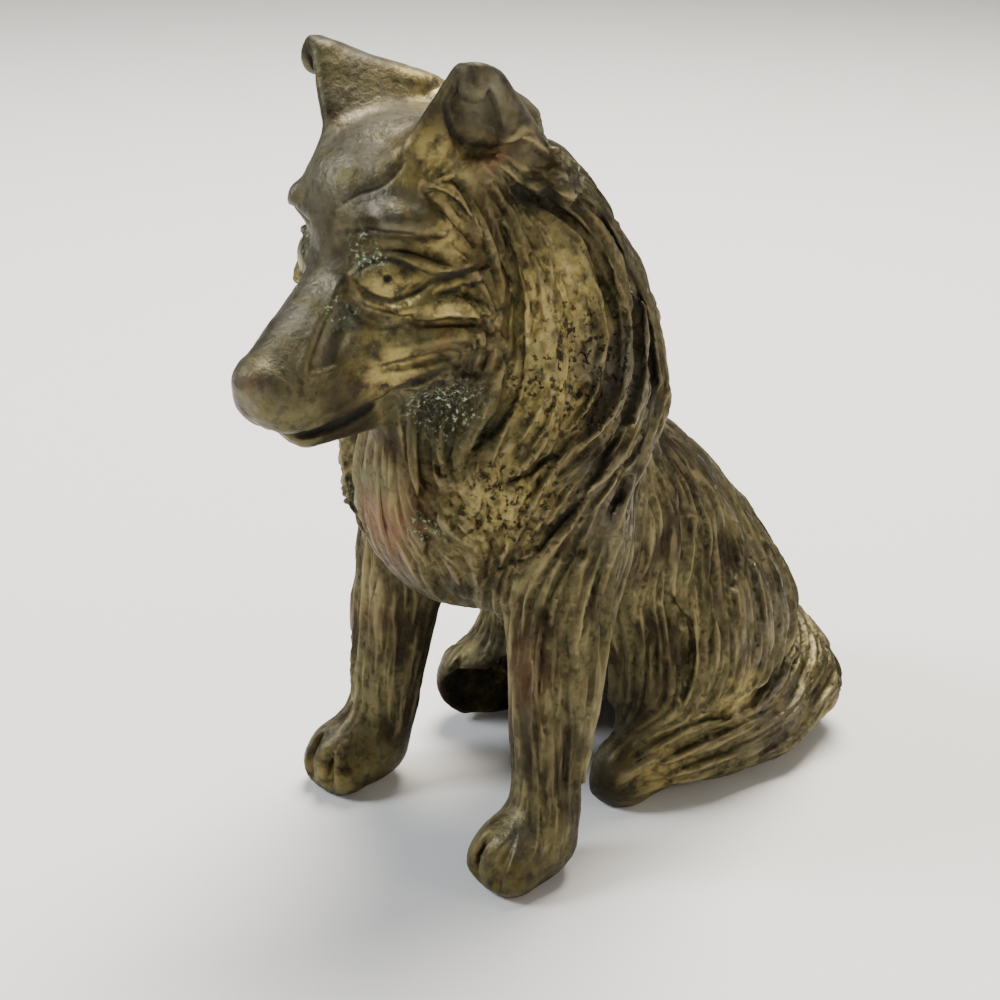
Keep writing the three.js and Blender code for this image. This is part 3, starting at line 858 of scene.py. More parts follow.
@dataclass
class Sculptor:
    """Turns a figure of steps into a fine closed mesh, flat under Z = 0.

    Attributes:
        steps: The figure's steps, in order.
        pitch: Pitch of the grid.
        block: Nodes along one side of a block, which is measured fully or not at all.
    """

    steps: list[Step]
    pitch: float = 0.28
    block: int = 8

    def field(self) -> Grid:
        """Measures the figure on a grid, node by node near its skin and coarsely elsewhere.

        Returns:
            The grid of distances.
        """
        low = np.asarray(LOW, np.float32) - [0, 0, 2.5 * self.pitch]
        count = np.ceil((np.asarray(HIGH) - low) / self.pitch / self.block).astype(int) + 1
        size = self.block * self.pitch
        half = (self.block - 1) * self.pitch / 2
        radius = half * math.sqrt(3)
        starts = np.stack(np.meshgrid(*[np.arange(c) for c in count], indexing="ij"), -1).reshape(-1, 3)
        centres = (low + starts * size + half).astype(np.float32)
        rough = measure(self.steps, centres)
        near = np.flatnonzero(np.abs(rough) < radius * 1.35 + 0.3)
        inner = np.stack(np.meshgrid(*[np.arange(self.block)] * 3, indexing="ij"), -1)
        inner = inner.reshape(-1, 3) * self.pitch
        points = (centres[near, None] - half + inner[None]).astype(np.float32)
        values = np.full(points.shape[:2], 1e3, np.float32)
        centre = np.full(len(near), 1e3, np.float32)
        for step in self.steps:
            own = step.own(centres[near])
            limit = (-centre if step.cutting else centre) + step.soft + radius * 2.6
            kept = np.flatnonzero(own < limit)
            centre = step.join(centre, own)
            for part in np.array_split(kept, max(1, len(kept) // 1500)):
                if len(part):
                    values[part] = step.join(values[part], step.own(points[part]))
        dense = rough.reshape(count)
        for axis in range(3):
            dense = np.repeat(dense, self.block, axis)
        shaped = dense.reshape(count[0], self.block, count[1], self.block, count[2], self.block)
        shaped = shaped.transpose(0, 2, 4, 1, 3, 5)
        cells = values.reshape(len(near), self.block, self.block, self.block)
        shaped[starts[near, 0], starts[near, 1], starts[near, 2]] = cells
        heights = (low[2] + np.arange(dense.shape[2]) * self.pitch).astype(np.float32)
        np.maximum(dense, -heights[None, None, :], out=dense)
        LOG.info("field: %d of %d blocks near the skin", len(near), len(starts))
        return Grid(low, self.pitch, dense)

    def skin(self, grid: Grid) -> tuple[Array, Array]:
        """Finds the closed surface of a field, one point for each cell that the skin passes through.

        Args:
            grid: The field.

        Returns:
            The points, in hundredths, and the four-cornered faces.
        """
        f = grid.values
        inside = f < 0
        shape = np.asarray(f.shape)
        strides = np.asarray([shape[1] * shape[2], shape[2], 1])
        spots, cells, turned = [], [], []
        for axis in range(3):
            lower = np.take(inside, np.arange(shape[axis] - 1), axis)
            upper = np.take(inside, np.arange(1, shape[axis]), axis)
            edge = np.argwhere(lower != upper)
            away = np.zeros(3, int)
            away[axis] = 1
            start = f[tuple(edge.T)]
            end = f[tuple((edge + away).T)]
            spots.append(edge + (start / (start - end))[:, None] * away)
            b, c = (axis + 1) % 3, (axis + 2) % 3
            flat = edge @ strides
            down, left = strides[b], strides[c]
            ring = np.stack([flat, flat - down, flat - down - left, flat - left], 1)
            cells.append(ring)
            turned.append(start < 0)
        places, rings, flip = np.concatenate(spots), np.concatenate(cells), np.concatenate(turned)
        ids, faces = np.unique(rings, return_inverse=True)
        faces = faces.reshape(-1, 4)
        tally = np.bincount(faces.ravel(), minlength=len(ids))
        points = np.stack(
            [np.bincount(faces.ravel(), np.repeat(place, 4), len(ids)) / tally for place in places.T], 1
        )
        faces[~flip] = faces[~flip][:, ::-1]
        points = (grid.low + points * self.pitch).astype(np.float32)
        moved = points - grid.slope(points, self.pitch * 0.6) * grid.at(points)[:, None]
        free = points[:, 2] > self.pitch
        points[free] = moved[free]
        return points, faces


@dataclass
class Combing:
    """The way the hair lies over the whole dog, and how deep it is carved.

    Attributes:
        coat: The skin under the hair, with the lines of its locks.
        spread: How far a note reaches.
        pitch: Pitch of the grid that the notes are blended on.
        places: Where the notes are.
        ways: Which way the hair runs there.
        depths: How deep the broad strands and the fine ones are there.
    """

    coat: Coat
    spread: float = 3.0
    pitch: float = 1.6
    places: list[Array] = field(default_factory=list)
    ways: list[Array] = field(default_factory=list)
    depths: list[tuple[float, float]] = field(default_factory=list)

    def note(self, place: Array, way: Array, coarse: float, fine: float) -> None:
        """Notes how the hair lies at a place.

        Args:
            place: The place.
            way: Which way the hair runs, of length one.
            coarse: Depth of the broad strands.
            fine: Depth of the fine strands.
        """
        self.places.append(np.asarray(place, np.float32))
        self.ways.append(np.asarray(way, np.float32))
        self.depths.append((coarse, fine))

    def settle(self) -> None:
        """Blends the notes into one smooth field that keeps to the coat."""
        for line in self.coat.lines:
            for start, end in zip(line[:-1], line[1:]):
                self.note((start + end) / 2, unit_rows(end - start), 0.45, 0.26)
        places, ways = np.stack(self.places), np.stack(self.ways)
        depths = np.asarray(self.depths, np.float32)
        low = np.asarray(LOW, np.float32) - 2
        count = np.ceil((np.asarray(HIGH) + 4 - low) / self.pitch).astype(int)
        nodes = np.stack(np.meshgrid(*[np.arange(c) for c in count], indexing="ij"), -1)
        nodes = low + nodes * self.pitch
        nodes = nodes.reshape(-1, 3).astype(np.float32)
        here = measure(self.coat.steps, nodes)
        near = np.flatnonzero(np.abs(here) < 6)
        kept = np.zeros((len(nodes), 5), np.float32)
        for part in np.array_split(near, max(1, len(near) // 4000)):
            p = nodes[part]
            gap = ((p[:, None] - places[None]) ** 2).sum(-1)
            gap -= gap.min(1, keepdims=True)
            weight = np.exp(-gap / (2 * self.spread**2))
            flow = weight @ ways
            beside = [p + step for step in np.eye(3, dtype=np.float32) * 0.3]
            slope = [measure(self.coat.steps, spot) - here[part] for spot in beside]
            slope = unit_rows(np.stack(slope, -1))
            flow -= (flow * slope).sum(-1, keepdims=True) * slope
            kept[part, :3] = unit_rows(flow)
            kept[part, 3:] = weight @ depths / weight.sum(1, keepdims=True)
        self.grid = Grid(low, self.pitch, kept.reshape(*count, 5))
        LOG.info("combing: %d notes, %d nodes", len(places), len(near))

    def strands(self, p: Array, cell: float, reach: float, seed: int) -> Array:
        """Smears noise along the way of the hair.

        Args:
            p: Points on the skin.
            cell: Size of the noise, about half the width of a strand.
            reach: How far a strand keeps its height, each way.
            seed: Seed of the noise.

        Returns:
            One height for each point, spread evenly round zero.
        """
        noise = Lattice(seed)
        step = cell * 0.9
        stops = max(2, int(reach / step))
        total = noise.at(p / cell)
        for sign in (1.0, -1.0):
            q = p
            for i in range(stops):
                q = q + unit_rows(self.grid.at(q)[:, :3]) * (sign * step)
                total += noise.at(q / cell) * (0.5 + 0.5 * math.cos(math.pi * (i + 1) / (stops + 1)))
        return total / total.std()


class PatinaAndPaintedLight(Enum):
    """What a patch of the casting's skin has become, or the painted shade or sheen laid on it."""

    RUBBED = "rubbed"  # smooth grey-brown: polish of handling, with a painted sheen on the high points
    BRIGHT = "bright"  # ochre brass showing
    COPPER = "copper"  # reddish metal
    GREEN = "green"  # verdigris in specks
    PITTED = "pitted"  # rough skin as cast
    DARK = "dark"  # near-black: oxide in the chased lines, and painted shade under the belly and jaw and in the ears


@dataclass(frozen=True)
class Patch:
    """A soft round patch of one patina, or of painted shade or sheen.

    Attributes:
        centre: Its middle.
        radius: How far it spreads.
        strength: Its share in the middle.
        paired: Whether it lies on both sides of the dog.
    """

    centre: Point
    radius: float
    strength: float = 1.0
    paired: bool = False

    def weight(self, p: Array) -> Array:
        """Works out how strongly the patch covers points.

        Args:
            p: The points.

        Returns:
            Its share at each point.
        """
        if self.paired:
            p = np.concatenate([np.abs(p[:, :1]), p[:, 1:]], 1)
        gap = ((p - np.asarray(self.centre, np.float32)) ** 2).sum(1)
        return self.strength * np.exp(-gap / (2 * self.radius**2))


PATCHES: dict[PatinaAndPaintedLight, tuple[Patch, ...]] = {
    PatinaAndPaintedLight.BRIGHT: (
        Patch((7, -31.5, 75), 3.2, 0.9, True),
        Patch((6, -33.5, 70.5), 3.2, 0.7, True),
        Patch((11.7, -27.1, 73.5), 2.4, 1.0, True),
        Patch((8.2, -32, 67.5), 3.2, 0.8, True),
        Patch((14.8, -14, 72), 5.5, 0.9, True),
        Patch((14.8, -15, 62), 4.5, 0.8, True),
        Patch((10.7, -27, 81), 3.5, 0.6, True),
        Patch((8, -27, 87.5), 3.5, 0.8),
        Patch((12, -19, 50), 5, 0.7, True),
        Patch((19, 18, 14), 3.5, 0.9),
        Patch((17, 6, 6), 4, 0.6),
        Patch((15, -21, 4), 4, 0.6, True),
        Patch((-4, -14, 92), 5, 0.7),
    ),
    # painted sheen on the high points and the outer edge of the mane, over real polish of handling
    PatinaAndPaintedLight.RUBBED: (
        Patch((0, -36, 72), 5, 1.0),
        Patch((0, -43, 66), 3.5, 0.8),
        Patch((-2, -28, 88), 6, 0.9),
        Patch((8, -31.5, 84.5), 2.8, 1.0, True),
        Patch((14, -20, 96), 5, 0.8, True),
        Patch((0, -4, 90), 8, 0.8),
        Patch((6, 8, 70), 10, 0.8, True),
        Patch((0, 22, 42), 12, 0.6),
        Patch((18.5, -5, 47), 6, 0.8, True),
        Patch((20, 24, 24), 7, 0.7, True),
        Patch((17, -21, 8), 2.5, 0.7, True),
        Patch((17.5, -4, 62), 6, 0.8, True),
        Patch((20, 24, 9), 6, 0.6),
    ),
    PatinaAndPaintedLight.COPPER: (
        Patch((11.8, -21.5, 89), 1.5, 0.7, True),
        Patch((0, -24.5, 46), 5, 0.7),
        Patch((1.9, -45.4, 67), 0.9, 1.0),
        Patch((11.6, -28, 71), 1.5, 0.5, True),
        Patch((14.5, -19, 28), 4, 0.4, True),
    ),
    PatinaAndPaintedLight.GREEN: (
        Patch((5.4, -33.2, 79.4), 2.0, 1.0, True),
        Patch((3.9, -35.6, 73.4), 1.9, 0.9, True),
        Patch((8, -24, 61), 4, 1.0, True),
        Patch((6.3, -25, 46), 2.2, 0.9, True),
        Patch((1, -29, 89), 1.8, 0.5),
    ),
    PatinaAndPaintedLight.PITTED: (
        Patch((15, -10, 64), 7, 1.0, True),
        Patch((13, -18, 50), 6, 0.9, True),
    ),
    # painted shade under the jaw, under the belly, in the ear hollows and inside the right hind foot
    PatinaAndPaintedLight.DARK: (
        Patch((6, -24, 63), 4.5, 0.8, True),
        Patch((0, 10, 8), 11, 1.0),
        Patch((12.1, -23.4, 92.6), 2.4, 0.5, True),
        Patch((-3, -20.5, 91.5), 2.6, 0.55),
        Patch((-8, -22, 95), 5, 0.3),
        Patch((-14, 2, 7), 3, 0.4),
    ),
}


def spread(kind: PatinaAndPaintedLight, p: Array) -> Array:
    """Gives how strongly one patina, or one painted shade or sheen, covers each point in p."""
    return np.max([patch.weight(p) for patch in PATCHES[kind]], axis=0)


def tone(code: str) -> tuple[float, float, float, float]:
    """Turns an sRGB hex code into a linear colour.

    Args:
        code: The code, such as #ffffff.

    Returns:
        Red, green, blue and an alpha of one.
    """
    parts = [int(code[i : i + 2], 16) / 255 for i in (1, 3, 5)]
    linear = [c / 12.92 if c <= 0.04045 else ((c + 0.055) / 1.055) ** 2.4 for c in parts]
    return (linear[0], linear[1], linear[2], 1.0)


def add_node(tree: Any, kind: str, **settings: Any) -> Any:
    """Adds a node, sets its properties and feeds its inputs.

    Args:
        tree: The node tree.
        kind: The node's type.
        settings: A property's name and value, or an input's name, with _ for a space, and a
            value or the socket that feeds it. Numbered inputs are in0, in1 and so on.

    Returns:
        The node.
    """
    node = tree.nodes.new(kind)
    for name, value in settings.items():
        if hasattr(node, name):
            setattr(node, name, value)
            continue
        numbered = name.startswith("in") and name[2:].isdigit()
        socket = node.inputs[int(name[2:]) if numbered else name.replace("_", " ")]
        if isinstance(value, bpy.types.NodeSocket):
            tree.links.new(value, socket)
        else:
            socket.default_value = value
    return node


@dataclass(frozen=True)
class Layer:
    """One film of the patina, or of painted shade, sheen or highlight, broken up by specks.

    Attributes:
        colour: Its colour.
        mark: The mesh attribute that places it, or nothing when it lies all over.
        bare: The mark at which the film starts.
        full: The mark at which it is whole.
        strength: How much it covers where it is whole.
        speck: Size of its specks in millimetres, or 0 for an even film.
        thin: The noise at which a speck starts.
        thick: The noise at which a speck is whole.
        roughness: Its roughness.
        metal: How metallic it is.
    """

    colour: str
    mark: str = ""
    bare: float = 0.0
    full: float = 1.0
    strength: float = 1.0
    speck: float = 0.0
    thin: float = 0.36
    thick: float = 0.62
    roughness: float = 0.5
    metal: float = 0.88


@dataclass(frozen=True)
class PatinatedBrassWithPaintedLight:
    """Cast brass gone olive-brown, with everything that a century of handling has done to it, and with
    painted shade, sheen and highlights in its colour.

    Attributes:
        ground: The brown film that lies on the metal.
        layers: The films over it, from the lowest to the topmost.
        grain: Size of the skin's finest grain in millimetres.
        pit: Size of the casting pits in millimetres.
    """

    ground: str = "#5c563a"
    layers: tuple[Layer, ...] = (
        Layer("#322b1c", speck=7.0),  # clouds of a darker brown
        Layer("#2a2416", speck=1.1, thin=0.5, thick=0.36, strength=0.55),  # brown flecks
        Layer("#9c8c55", "bright", speck=1.6, thin=0.32, thick=0.6, roughness=0.42),  # ochre brass
        Layer("#7d5a3c", "copper", speck=7.0, thin=0.35, thick=0.5, strength=0.8),  # reddish metal
        Layer("#6a6557", "rubbed", 0.0, 1.0, 0.8, 3.0, 0.3, 0.58, 0.38),  # polish of handling, with a painted sheen on the high points and the mane's outer edge
        Layer("#a09268", "strand", 0.6, 1.0, 0.45, roughness=0.4),  # crowns of the locks, worn bright and with a painted highlight
        Layer("#b7a877", "bright", 0.3, 1.0, 0.4, 0.45, 0.54, 0.7, 0.36),  # small worn spots and painted glints
        Layer("#100d09", "strand", 0.46, 0.1, 0.88, roughness=0.8, metal=0.5),  # dirt and painted shade between the locks
        Layer("#100d09", "pitted", 0.15, 0.7, 0.75, 0.9, 0.44, 0.36, 0.8, 0.5),  # dirt in the pits
        Layer("#120f0a", "open_air", 0.56, 0.2, 0.8, roughness=0.85, metal=0.45),  # darker where the skin is sheltered, in the deep folds
        Layer("#0d0b08", "dark", 0.1, 0.9, 0.9, roughness=0.85, metal=0.45),  # near-black: oxide in the chased lines, and painted shade under the belly and jaw and in the ears
        Layer("#545c40", "green", 0.1, 0.9, 0.85, 0.5, 0.44, 0.62, 0.85, 0.0),  # verdigris
        Layer("#c0c0a4", "green", 0.3, 0.9, 0.8, 0.5, 0.6, 0.68, 0.85, 0.0),  # its pale crumbs
    )
    grain: float = 0.7
    pit: float = 0.9

    def build(self) -> Any:
        """Builds the material, which gives the eye old metal with a dull, mottled sheen.

        Returns:
            The material.
        """
        material = bpy.data.materials.new("patinated cast brass with painted light")
        material.use_nodes = True
        tree = material.node_tree
        tree.nodes.clear()
        coords = add_node(tree, "ShaderNodeTexCoord").outputs["Object"]
        colour: Any = tone(self.ground)
        rough: Any = 0.52
        metal: Any = 0.88
        for layer in self.layers:
            share: Any = layer.strength
            if layer.mark:
                mark = add_node(tree, "ShaderNodeAttribute", attribute_name=layer.mark)
                share = add_node(
                    tree,
                    "ShaderNodeMapRange",
                    interpolation_type="SMOOTHSTEP",
                    Value=mark.outputs["Fac"],
                    in1=layer.bare,
                    in2=layer.full,
                    in4=layer.strength,
                ).outputs["Result"]
            if layer.speck:
                noise = add_node(
                    tree, "ShaderNodeTexNoise", Vector=coords, Scale=1000 / layer.speck, Detail=3.0
                )
                specks = add_node(
                    tree,
                    "ShaderNodeMapRange",
                    interpolation_type="SMOOTHSTEP",
                    Value=noise.outputs["Fac"],
                    in1=layer.thin,
                    in2=layer.thick,
                )
                share = add_node(
                    tree, "ShaderNodeMath", operation="MULTIPLY", in0=share, in1=specks.outputs["Result"]
                ).outputs[0]
            colour = add_node(
                tree, "ShaderNodeMix", data_type="RGBA", in0=share, in6=colour, in7=tone(layer.colour)
            ).outputs[2]
            rough = add_node(tree, "ShaderNodeMix", in0=share, in2=rough, in3=layer.roughness).outputs[0]
            metal = add_node(tree, "ShaderNodeMix", in0=share, in2=metal, in3=layer.metal).outputs[0]
        grain = add_node(
            tree, "ShaderNodeTexNoise", Vector=coords, Scale=1000 / self.grain, Detail=5.0, Roughness=0.6
        ).outputs["Fac"]
        rough = add_node(tree, "ShaderNodeMath", operation="MULTIPLY_ADD", in0=grain, in1=0.4, in2=rough)
        rough = add_node(tree, "ShaderNodeMath", operation="SUBTRACT", in0=rough.outputs[0], in1=0.18)
        bump = add_node(tree, "ShaderNodeBump", Strength=0.5, Distance=0.0003, Height=grain)
        noise = add_node(tree, "ShaderNodeTexNoise", Vector=coords, Scale=1000 / self.pit, Detail=3.0)
        pits = add_node(tree, "ShaderNodeMapRange", Value=noise.outputs["Fac"], in1=0.36, in2=0.44)
        pitted = add_node(tree, "ShaderNodeAttribute", attribute_name="pitted")
        dents = add_node(
            tree,
            "ShaderNodeBump",
            Strength=pitted.outputs["Fac"],
            Distance=0.0003,
            Height=pits.outputs["Result"],
            Normal=bump.outputs["Normal"],
        )
        shader = add_node(
            tree,
            "ShaderNodeBsdfPrincipled",
            Base_Color=colour,
            Metallic=metal,
            Roughness=rough.outputs[0],
            Normal=dents.outputs["Normal"],
        )
        add_node(tree, "ShaderNodeOutputMaterial", Surface=shader.outputs["BSDF"])
        return material


@dataclass(frozen=True)
class MattPaper:
    """Uncoated white paper, hung as a sweep.

    Attributes:
        colour: Its colour.
        roughness: Its roughness, high as the fibres lie bare.
    """

    colour: str = "#f0eee9"
    roughness: float = 0.9

    def build(self) -> Any:
        """Builds the material, which gives the eye a dull ground that takes soft shadows.

        Returns:
            The material.
        """
        material = bpy.data.materials.new("matt white paper")
        material.use_nodes = True
        shader = material.node_tree.nodes["Principled BSDF"]
        shader.inputs["Base Color"].default_value = tone(self.colour)
        shader.inputs["Roughness"].default_value = self.roughness
        return material


@dataclass(frozen=True)
class Strand:
    """One size of the fine strands.

    Attributes:
        cell: About half the width of a strand.
        reach: How far it keeps its height, each way.
        seed: Seed of its noise.
        lift: Its height against the depth that is noted for it.
    """

    cell: float
    reach: float
    seed: int
    lift: float


NOTES: list[tuple[Point, Point, float, float, bool]] = [
    # place, way of the hair, depth of the broad strands, depth of the fine ones, paired
    ((0, -36, 70), (0, 1, 0.6), 0.0, 0.0, False),
    ((0, -43, 66), (0, 1, 0.6), 0.0, 0.0, False),
    ((5, -36, 66), (0.2, 1, 0.3), 0.0, 0.0, True),
    ((0, -30, 84), (0, 1, 0.6), 0.0, 0.0, False),
    ((8, -29, 78), (0.4, 1, 0.2), 0.0, 0.0, True),
    ((9, -28, 70), (0.4, 1, 0.0), 0.02, 0.02, True),
    ((11, -23, 77), (0.4, 1, -0.2), 0.02, 0.03, True),
    ((0, -22, 92), (0, 1, 0.1), 0.0, 0.02, False),
    ((12, -24, 95), (0, 0.2, 1), 0.0, 0.02, True),
    ((10, -14, 95), (0, 0.6, -1), 0.0, 0.03, True),
    ((0, -12, 91), (0, 1, -0.3), 0.02, 0.05, False),
    ((0, 2, 84), (0, 0.7, -1), 0.14, 0.14, False),
    ((0, 10, 70), (0, 0.2, -1), 0.16, 0.16, False),
    ((0, 11, 58), (0, -0.1, -1), 0.16, 0.16, False),
    ((0, 18, 50), (0, 0.8, -1), 0.14, 0.14, False),
    ((0, 30, 41), (0, 0.8, -1), 0.14, 0.14, False),
    ((0, 42, 28), (0, 0.4, -1), 0.14, 0.14, False),
    ((0, 45, 14), (0.8, 0.1, -0.4), 0.14, 0.14, False),
    ((-16, 36, 12), (-0.2, -0.3, -1), 0.12, 0.12, False),
    ((0, -27.5, 56), (0, -0.1, -1), 0.02, 0.03, False),
    ((0, -25.5, 44), (0, 0.3, -1), 0.02, 0.03, False),
    ((4, -26.5, 50), (0, 0.1, -1), 0.02, 0.03, True),
    ((0, -18, 32), (0, 1, -1), 0.04, 0.06, False),
    ((0, -6, 30), (0, 1, -0.3), 0.05, 0.08, False),
    ((0, -28, 61), (0, 0.6, -0.6), 0.0, 0.02, False),
    ((15, -23, 4), (0, -0.6, -0.6), 0.0, 0.0, True),
    ((2.4, -27.4, 60), (0, 0.2, -1), 0.0, 0.02, True),
    ((2.6, -27, 52), (0, 0.1, -1), 0.0, 0.02, True),
    ((2.4, -25.4, 46), (0, 0.3, -1), 0.0, 0.02, True),
    ((1.6, -22.4, 38), (0, 0.5, -1), 0.0, 0.02, True),
    ((15, -19, 25), (0, 0.1, -1), 0.06, 0.1, True),
    ((15.6, -18.4, 13), (0, 0.1, -1), 0.03, 0.08, True),
    ((20, -13, 21), (0, 0.1, -1), 0.12, 0.16, True),
    ((15, -14, 4), (0, -0.6, -0.6), 0.0, 0.02, True),
    ((11, -12, 20), (0, -0.1, -1), 0.06, 0.08, True),
    ((12, 0, 6), (0, -1, -0.4), 0.0, 0.02, True),
]


@dataclass
class Collie:
    """The whole figurine as one casting.

    Attributes:
        faces: Triangles that the casting is folded down to.
        pitch: Pitch of the grid that its skin is found on.
        pit: Depth of the casting pits.
        line: Width of the dirt round a chased line.
        strands: The broad strands and the narrow ones.
    """

    faces: int = 196000
    pitch: float = 0.28
    pit: float = 0.55
    line: float = 0.22
    strands: tuple[Strand, Strand] = (Strand(0.85, 10.0, 7, 1.9), Strand(0.5, 6.0, 11, 1.6))
    trunk: Trunk = field(default_factory=Trunk)
    head: Head = field(default_factory=Head)
    legs: Legs = field(default_factory=Legs)
    tail: Tail = field(default_factory=Tail)
    underside: Underside = field(default_factory=Underside)
    hair: Hair = field(default_factory=Hair)
    finish: PatinatedBrassWithPaintedLight = field(default_factory=PatinatedBrassWithPaintedLight)

    def figure(self) -> list[Step]:
        """Gives every step of the figure, and keeps the way of the hair.

        Returns:
            The steps, in order.
        """
        bulk = [*self.trunk.steps(), *self.head.steps(), *self.legs.steps(), *self.tail.steps()]
        self.coat = Coat(bulk)
        face = self.head.carving(self.coat)
        self.coat.lines.clear()
        swelling = self.head.swelling()
        rims = self.head.rims(Coat([*bulk, *face, *swelling]))
        self.slits = self.head.slits(Coat([*bulk, *face, *swelling, *rims]))
        locks = self.hair.carving(self.coat)
        brush = self.tail.carving(self.coat)
        return [
            *bulk,
            *self.underside.steps(),
            *face,
            *locks,
            *brush,
            *self.legs.carving(),
            *self.legs.clefts(),
            *swelling,
            *rims,
            *self.slits,
        ]

    def comb(self) -> Combing:
        """Lays down the way of the hair between and beyond the carved locks.

        Returns:
            The way of the hair over the whole dog.
        """
        combing = Combing(self.coat)
        for place, way, coarse, fine, paired in NOTES:
            combing.note(place, unit_rows(np.asarray(way, np.float32)), coarse, fine)
            if paired:
                flip = np.asarray([-1, 1, 1])
                combing.note(place * flip, unit_rows(np.asarray(way, np.float32) * flip), coarse, fine)
        combing.settle()
        return combing

    def relief(self, combing: Combing, p: Array) -> tuple[Array, Array]:
        """Works out the fine strands and the cast skin.

        Args:
            combing: The way of the hair.
            p: Points on the skin.

        Returns:
            The height to add at each point, and the strands' share of their full height.
        """
        depth = combing.grid.at(p)[:, 3:]
        heights = []
        for strand in self.strands:
            height = np.abs(combing.strands(p, strand.cell, strand.reach, strand.seed))
            heights.append(np.sqrt(np.minimum(height, 1.6) / 1.6))
        broad, narrow = heights
        lift = [strand.lift for strand in self.strands]
        rise = depth[:, 0] * (broad - 0.7) * lift[0] + depth[:, 1] * (narrow - 0.7) * lift[1]
        noise = Lattice(23)
        rise += 0.06 * noise.at(p / 2.3) + 0.03 * noise.at(p / 0.8)
        rise -= self.pit * spread(PatinaAndPaintedLight.PITTED, p) * np.maximum(noise.at(p / 0.55 + 9.0) - 0.25, 0)
        share = (depth[:, 0] * broad + depth[:, 1] * narrow) / np.maximum(depth.sum(1), 1e-3)
        return rise, mix(0.47, share, np.clip(depth.sum(1) / 0.12, 0, 1))

    def build(self) -> Any:
        """Builds the casting's mesh and dresses it.

        Returns:
            The casting.
        """
        sculptor = Sculptor(self.figure(), pitch=self.pitch)
        grid = sculptor.field()
        points, faces = sculptor.skin(grid)
        combing = self.comb()
        rise, _ = self.relief(combing, points)
        normal = grid.slope(points, 0.4)
        lifted = np.clip((points[:, 2] - 0.5) / 1.5, 0, 1)
        points = points + normal * (rise * lifted)[:, None]
        points[np.abs(points[:, 2]) < 0.06, 2] = 0.0
        mesh = bpy.data.meshes.new("collie_casting")
        mesh.from_pydata(points.tolist(), [], faces.tolist())
        raw = bpy.data.objects.new("collie_casting", mesh)
        bpy.context.scene.collection.objects.link(raw)
        coat = raw.vertex_groups.new(name="coat")  # all but the face, which keeps its fine mesh
        coat.add(np.flatnonzero((points[:, 1] > -24) | (points[:, 2] < 60)).tolist(), 1.0, "REPLACE")
        fold = raw.modifiers.new("fold", "DECIMATE")
        fold.vertex_group = "coat"
        fold.ratio = min(1.0, self.faces / (2 * len(faces)))
        fold.use_collapse_triangulate = True
        graph = bpy.context.evaluated_depsgraph_get()
        light = bpy.data.meshes.new_from_object(raw.evaluated_get(graph))
        bpy.data.objects.remove(raw)
        casting = bpy.data.objects.new("collie_casting", light)
        bpy.context.scene.collection.objects.link(casting)
        self.mark(light, grid, combing)
        light.transform(Matrix.Scale(UNIT, 4) @ Matrix.Translation((-MIDDLE[0], -MIDDLE[1], 0)))
        light.polygons.foreach_set("use_smooth", [True] * len(light.polygons))
        light.materials.append(self.finish.build())
        LOG.info("casting: %d points, %d faces", len(light.vertices), len(light.polygons))
        return casting

    def mark(self, mesh: Any, grid: Grid, combing: Combing) -> None:
        """Writes the shares of the patina, and of the painted shade and sheen, onto the points of the
        mesh.

        Args:
            mesh: The casting's mesh, in hundredths.
            grid: The figure's distances.
            combing: The way of the hair.
        """
        flat = np.empty(len(mesh.vertices) * 3, np.float32)
        mesh.vertices.foreach_get("co", flat)
        p = flat.reshape(-1, 3)
        normal = grid.slope(p, 0.4)
        air = np.mean([np.clip(grid.at(p + normal * s) / s, 0, 1) for s in (1.0, 2.2, 5.0)], axis=0)
        _, share = self.relief(combing, p)
        marks = {kind.value: spread(kind, p) for kind in PatinaAndPaintedLight}
        line = np.min([step.own(p) for step in self.slits], axis=0)
        marks["dark"] = np.maximum(marks["dark"], 0.75 * np.clip(1 - line / self.line, 0, 1))
        marks["open_air"] = air
        marks["strand"] = share
        for name, values in marks.items():
            layer = mesh.attributes.new(name, "FLOAT", "POINT")
            layer.data.foreach_set("value", values.astype(np.float32))
        LOG.info("patina: %s", ", ".join(marks))


@dataclass(frozen=True)
class Lamp:
    """A soft lamp.

    Attributes:
        name: Its name.
        place: Where it hangs, in metres, seen from the camera: right, back, up.
        size: Width of its panel in metres.
        power: Its power in watts.
        colour: Its colour.
    """

    name: str
    place: Point
    size: float
    power: float
    colour: str


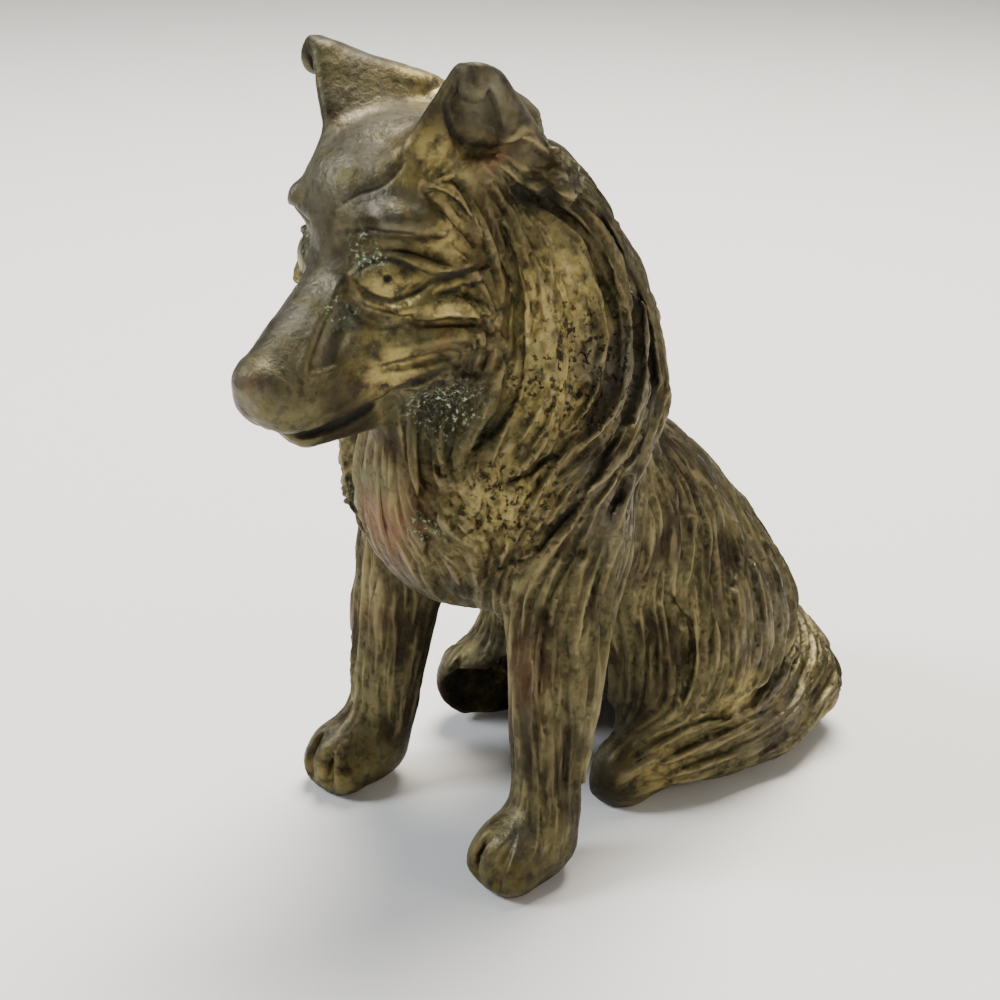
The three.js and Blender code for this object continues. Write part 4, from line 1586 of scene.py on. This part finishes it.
@dataclass
class Studio:
    """The pale floor, the soft lamps and the camera.

    Attributes:
        eye: Where the camera stands, in metres.
        lens: Its focal length in millimetres.
        frame_turn: How far the camera's side is turned from the X axis, in degrees.
        tilt: How far it looks down, in degrees.
        roll: How far it is rolled, in degrees.
        paper: Finish of the floor.
        air: Colour of the light from all round.
        air_strength: Its strength.
        lamps: The lamps.
    """

    eye: Point = (0.13655, -0.14954, 0.12656)
    lens: float = 61.2
    frame_turn: float = 44.0
    tilt: float = 22.8
    roll: float = 1.0
    paper: MattPaper = field(default_factory=MattPaper)
    air: str = "#cfd3d6"
    air_strength: float = 0.35
    lamps: tuple[Lamp, ...] = (
        Lamp("ceiling panel", (0.1, 0.3, 0.8), 0.5, 17.2, "#fffaf2"),
        Lamp("left window", (-0.7, -0.1, 0.6), 0.3, 6.6, "#eef4ff"),
        Lamp("right fill", (0.8, -0.3, 0.35), 0.3, 2.0, "#fff3e2"),
    )

    def floor(self) -> None:
        """Builds a pale sweep that the dog stands on."""
        width, depth, back, bend = 3.0, 1.2, 1.6, 0.35
        rows: list[tuple[float, float]] = [(-depth, 0.0), (back - bend, 0.0)]
        rows += [
            (back - bend + bend * math.sin(a), bend - bend * math.cos(a))
            for a in np.linspace(0.1, math.pi / 2, 14)
        ]
        rows.append((back, 2.2))
        turn = Matrix.Rotation(math.radians(self.frame_turn), 3, "Z")
        points = [turn @ Vector((side * width, y, z)) for y, z in rows for side in (-1, 1)]
        faces = [(2 * i, 2 * i + 1, 2 * i + 3, 2 * i + 2) for i in range(len(rows) - 1)]
        mesh = bpy.data.meshes.new("paper sweep")
        mesh.from_pydata([tuple(p) for p in points], [], faces)
        mesh.polygons.foreach_set("use_smooth", [True] * len(faces))
        sweep = bpy.data.objects.new("paper sweep", mesh)
        bpy.context.scene.collection.objects.link(sweep)
        mesh.materials.append(self.paper.build())
        LOG.info("paper sweep: %d faces", len(faces))

    def lamp(self, lamp: Lamp) -> None:
        """Hangs one soft lamp that faces the dog.

        Args:
            lamp: The lamp's place, size, power and colour.
        """
        data = bpy.data.lights.new(lamp.name, "AREA")
        data.shape, data.size, data.energy = "DISK", lamp.size, lamp.power
        data.color = tone(lamp.colour)[:3]
        turn = Matrix.Rotation(math.radians(self.frame_turn), 3, "Z")
        spot = turn @ Vector(lamp.place)
        hung = bpy.data.objects.new(lamp.name, data)
        hung.location = spot
        hung.rotation_euler = (Vector((0, 0, 0.05)) - spot).to_track_quat("-Z", "Y").to_euler()
        bpy.context.scene.collection.objects.link(hung)
        LOG.info("lamp: %s, %.1f W", lamp.name, lamp.power)

    def camera(self) -> None:
        """Sets the camera where the photograph was taken from."""
        data = bpy.data.cameras.new("camera")
        data.lens, data.sensor_width, data.clip_start = self.lens, 36.0, 0.01
        turn = Matrix.Rotation(math.radians(self.frame_turn), 4, "Z")
        lean = Matrix.Rotation(math.radians(90 - self.tilt), 4, "X")
        spin = Matrix.Rotation(math.radians(self.roll), 4, "Z")
        camera = bpy.data.objects.new("camera", data)
        camera.matrix_world = Matrix.Translation(Vector(self.eye)) @ turn @ lean @ spin
        bpy.context.scene.collection.objects.link(camera)
        bpy.context.scene.camera = camera
        LOG.info("camera: %.1f mm", self.lens)

    def build(self) -> None:
        """Sets everything up."""
        self.floor()
        for lamp in self.lamps:
            self.lamp(lamp)
        world = bpy.data.worlds.new("room")
        world.use_nodes = True
        back = world.node_tree.nodes["Background"]
        back.inputs["Color"].default_value = tone(self.air)
        back.inputs["Strength"].default_value = self.air_strength
        bpy.context.scene.world = world
        self.camera()


def main() -> None:
    """Builds the figurine and its studio."""
    casting = Collie().build()
    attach(casting, "root")
    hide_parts("collie_dog")
    Studio().build()


if __name__ == "__main__":
    main()
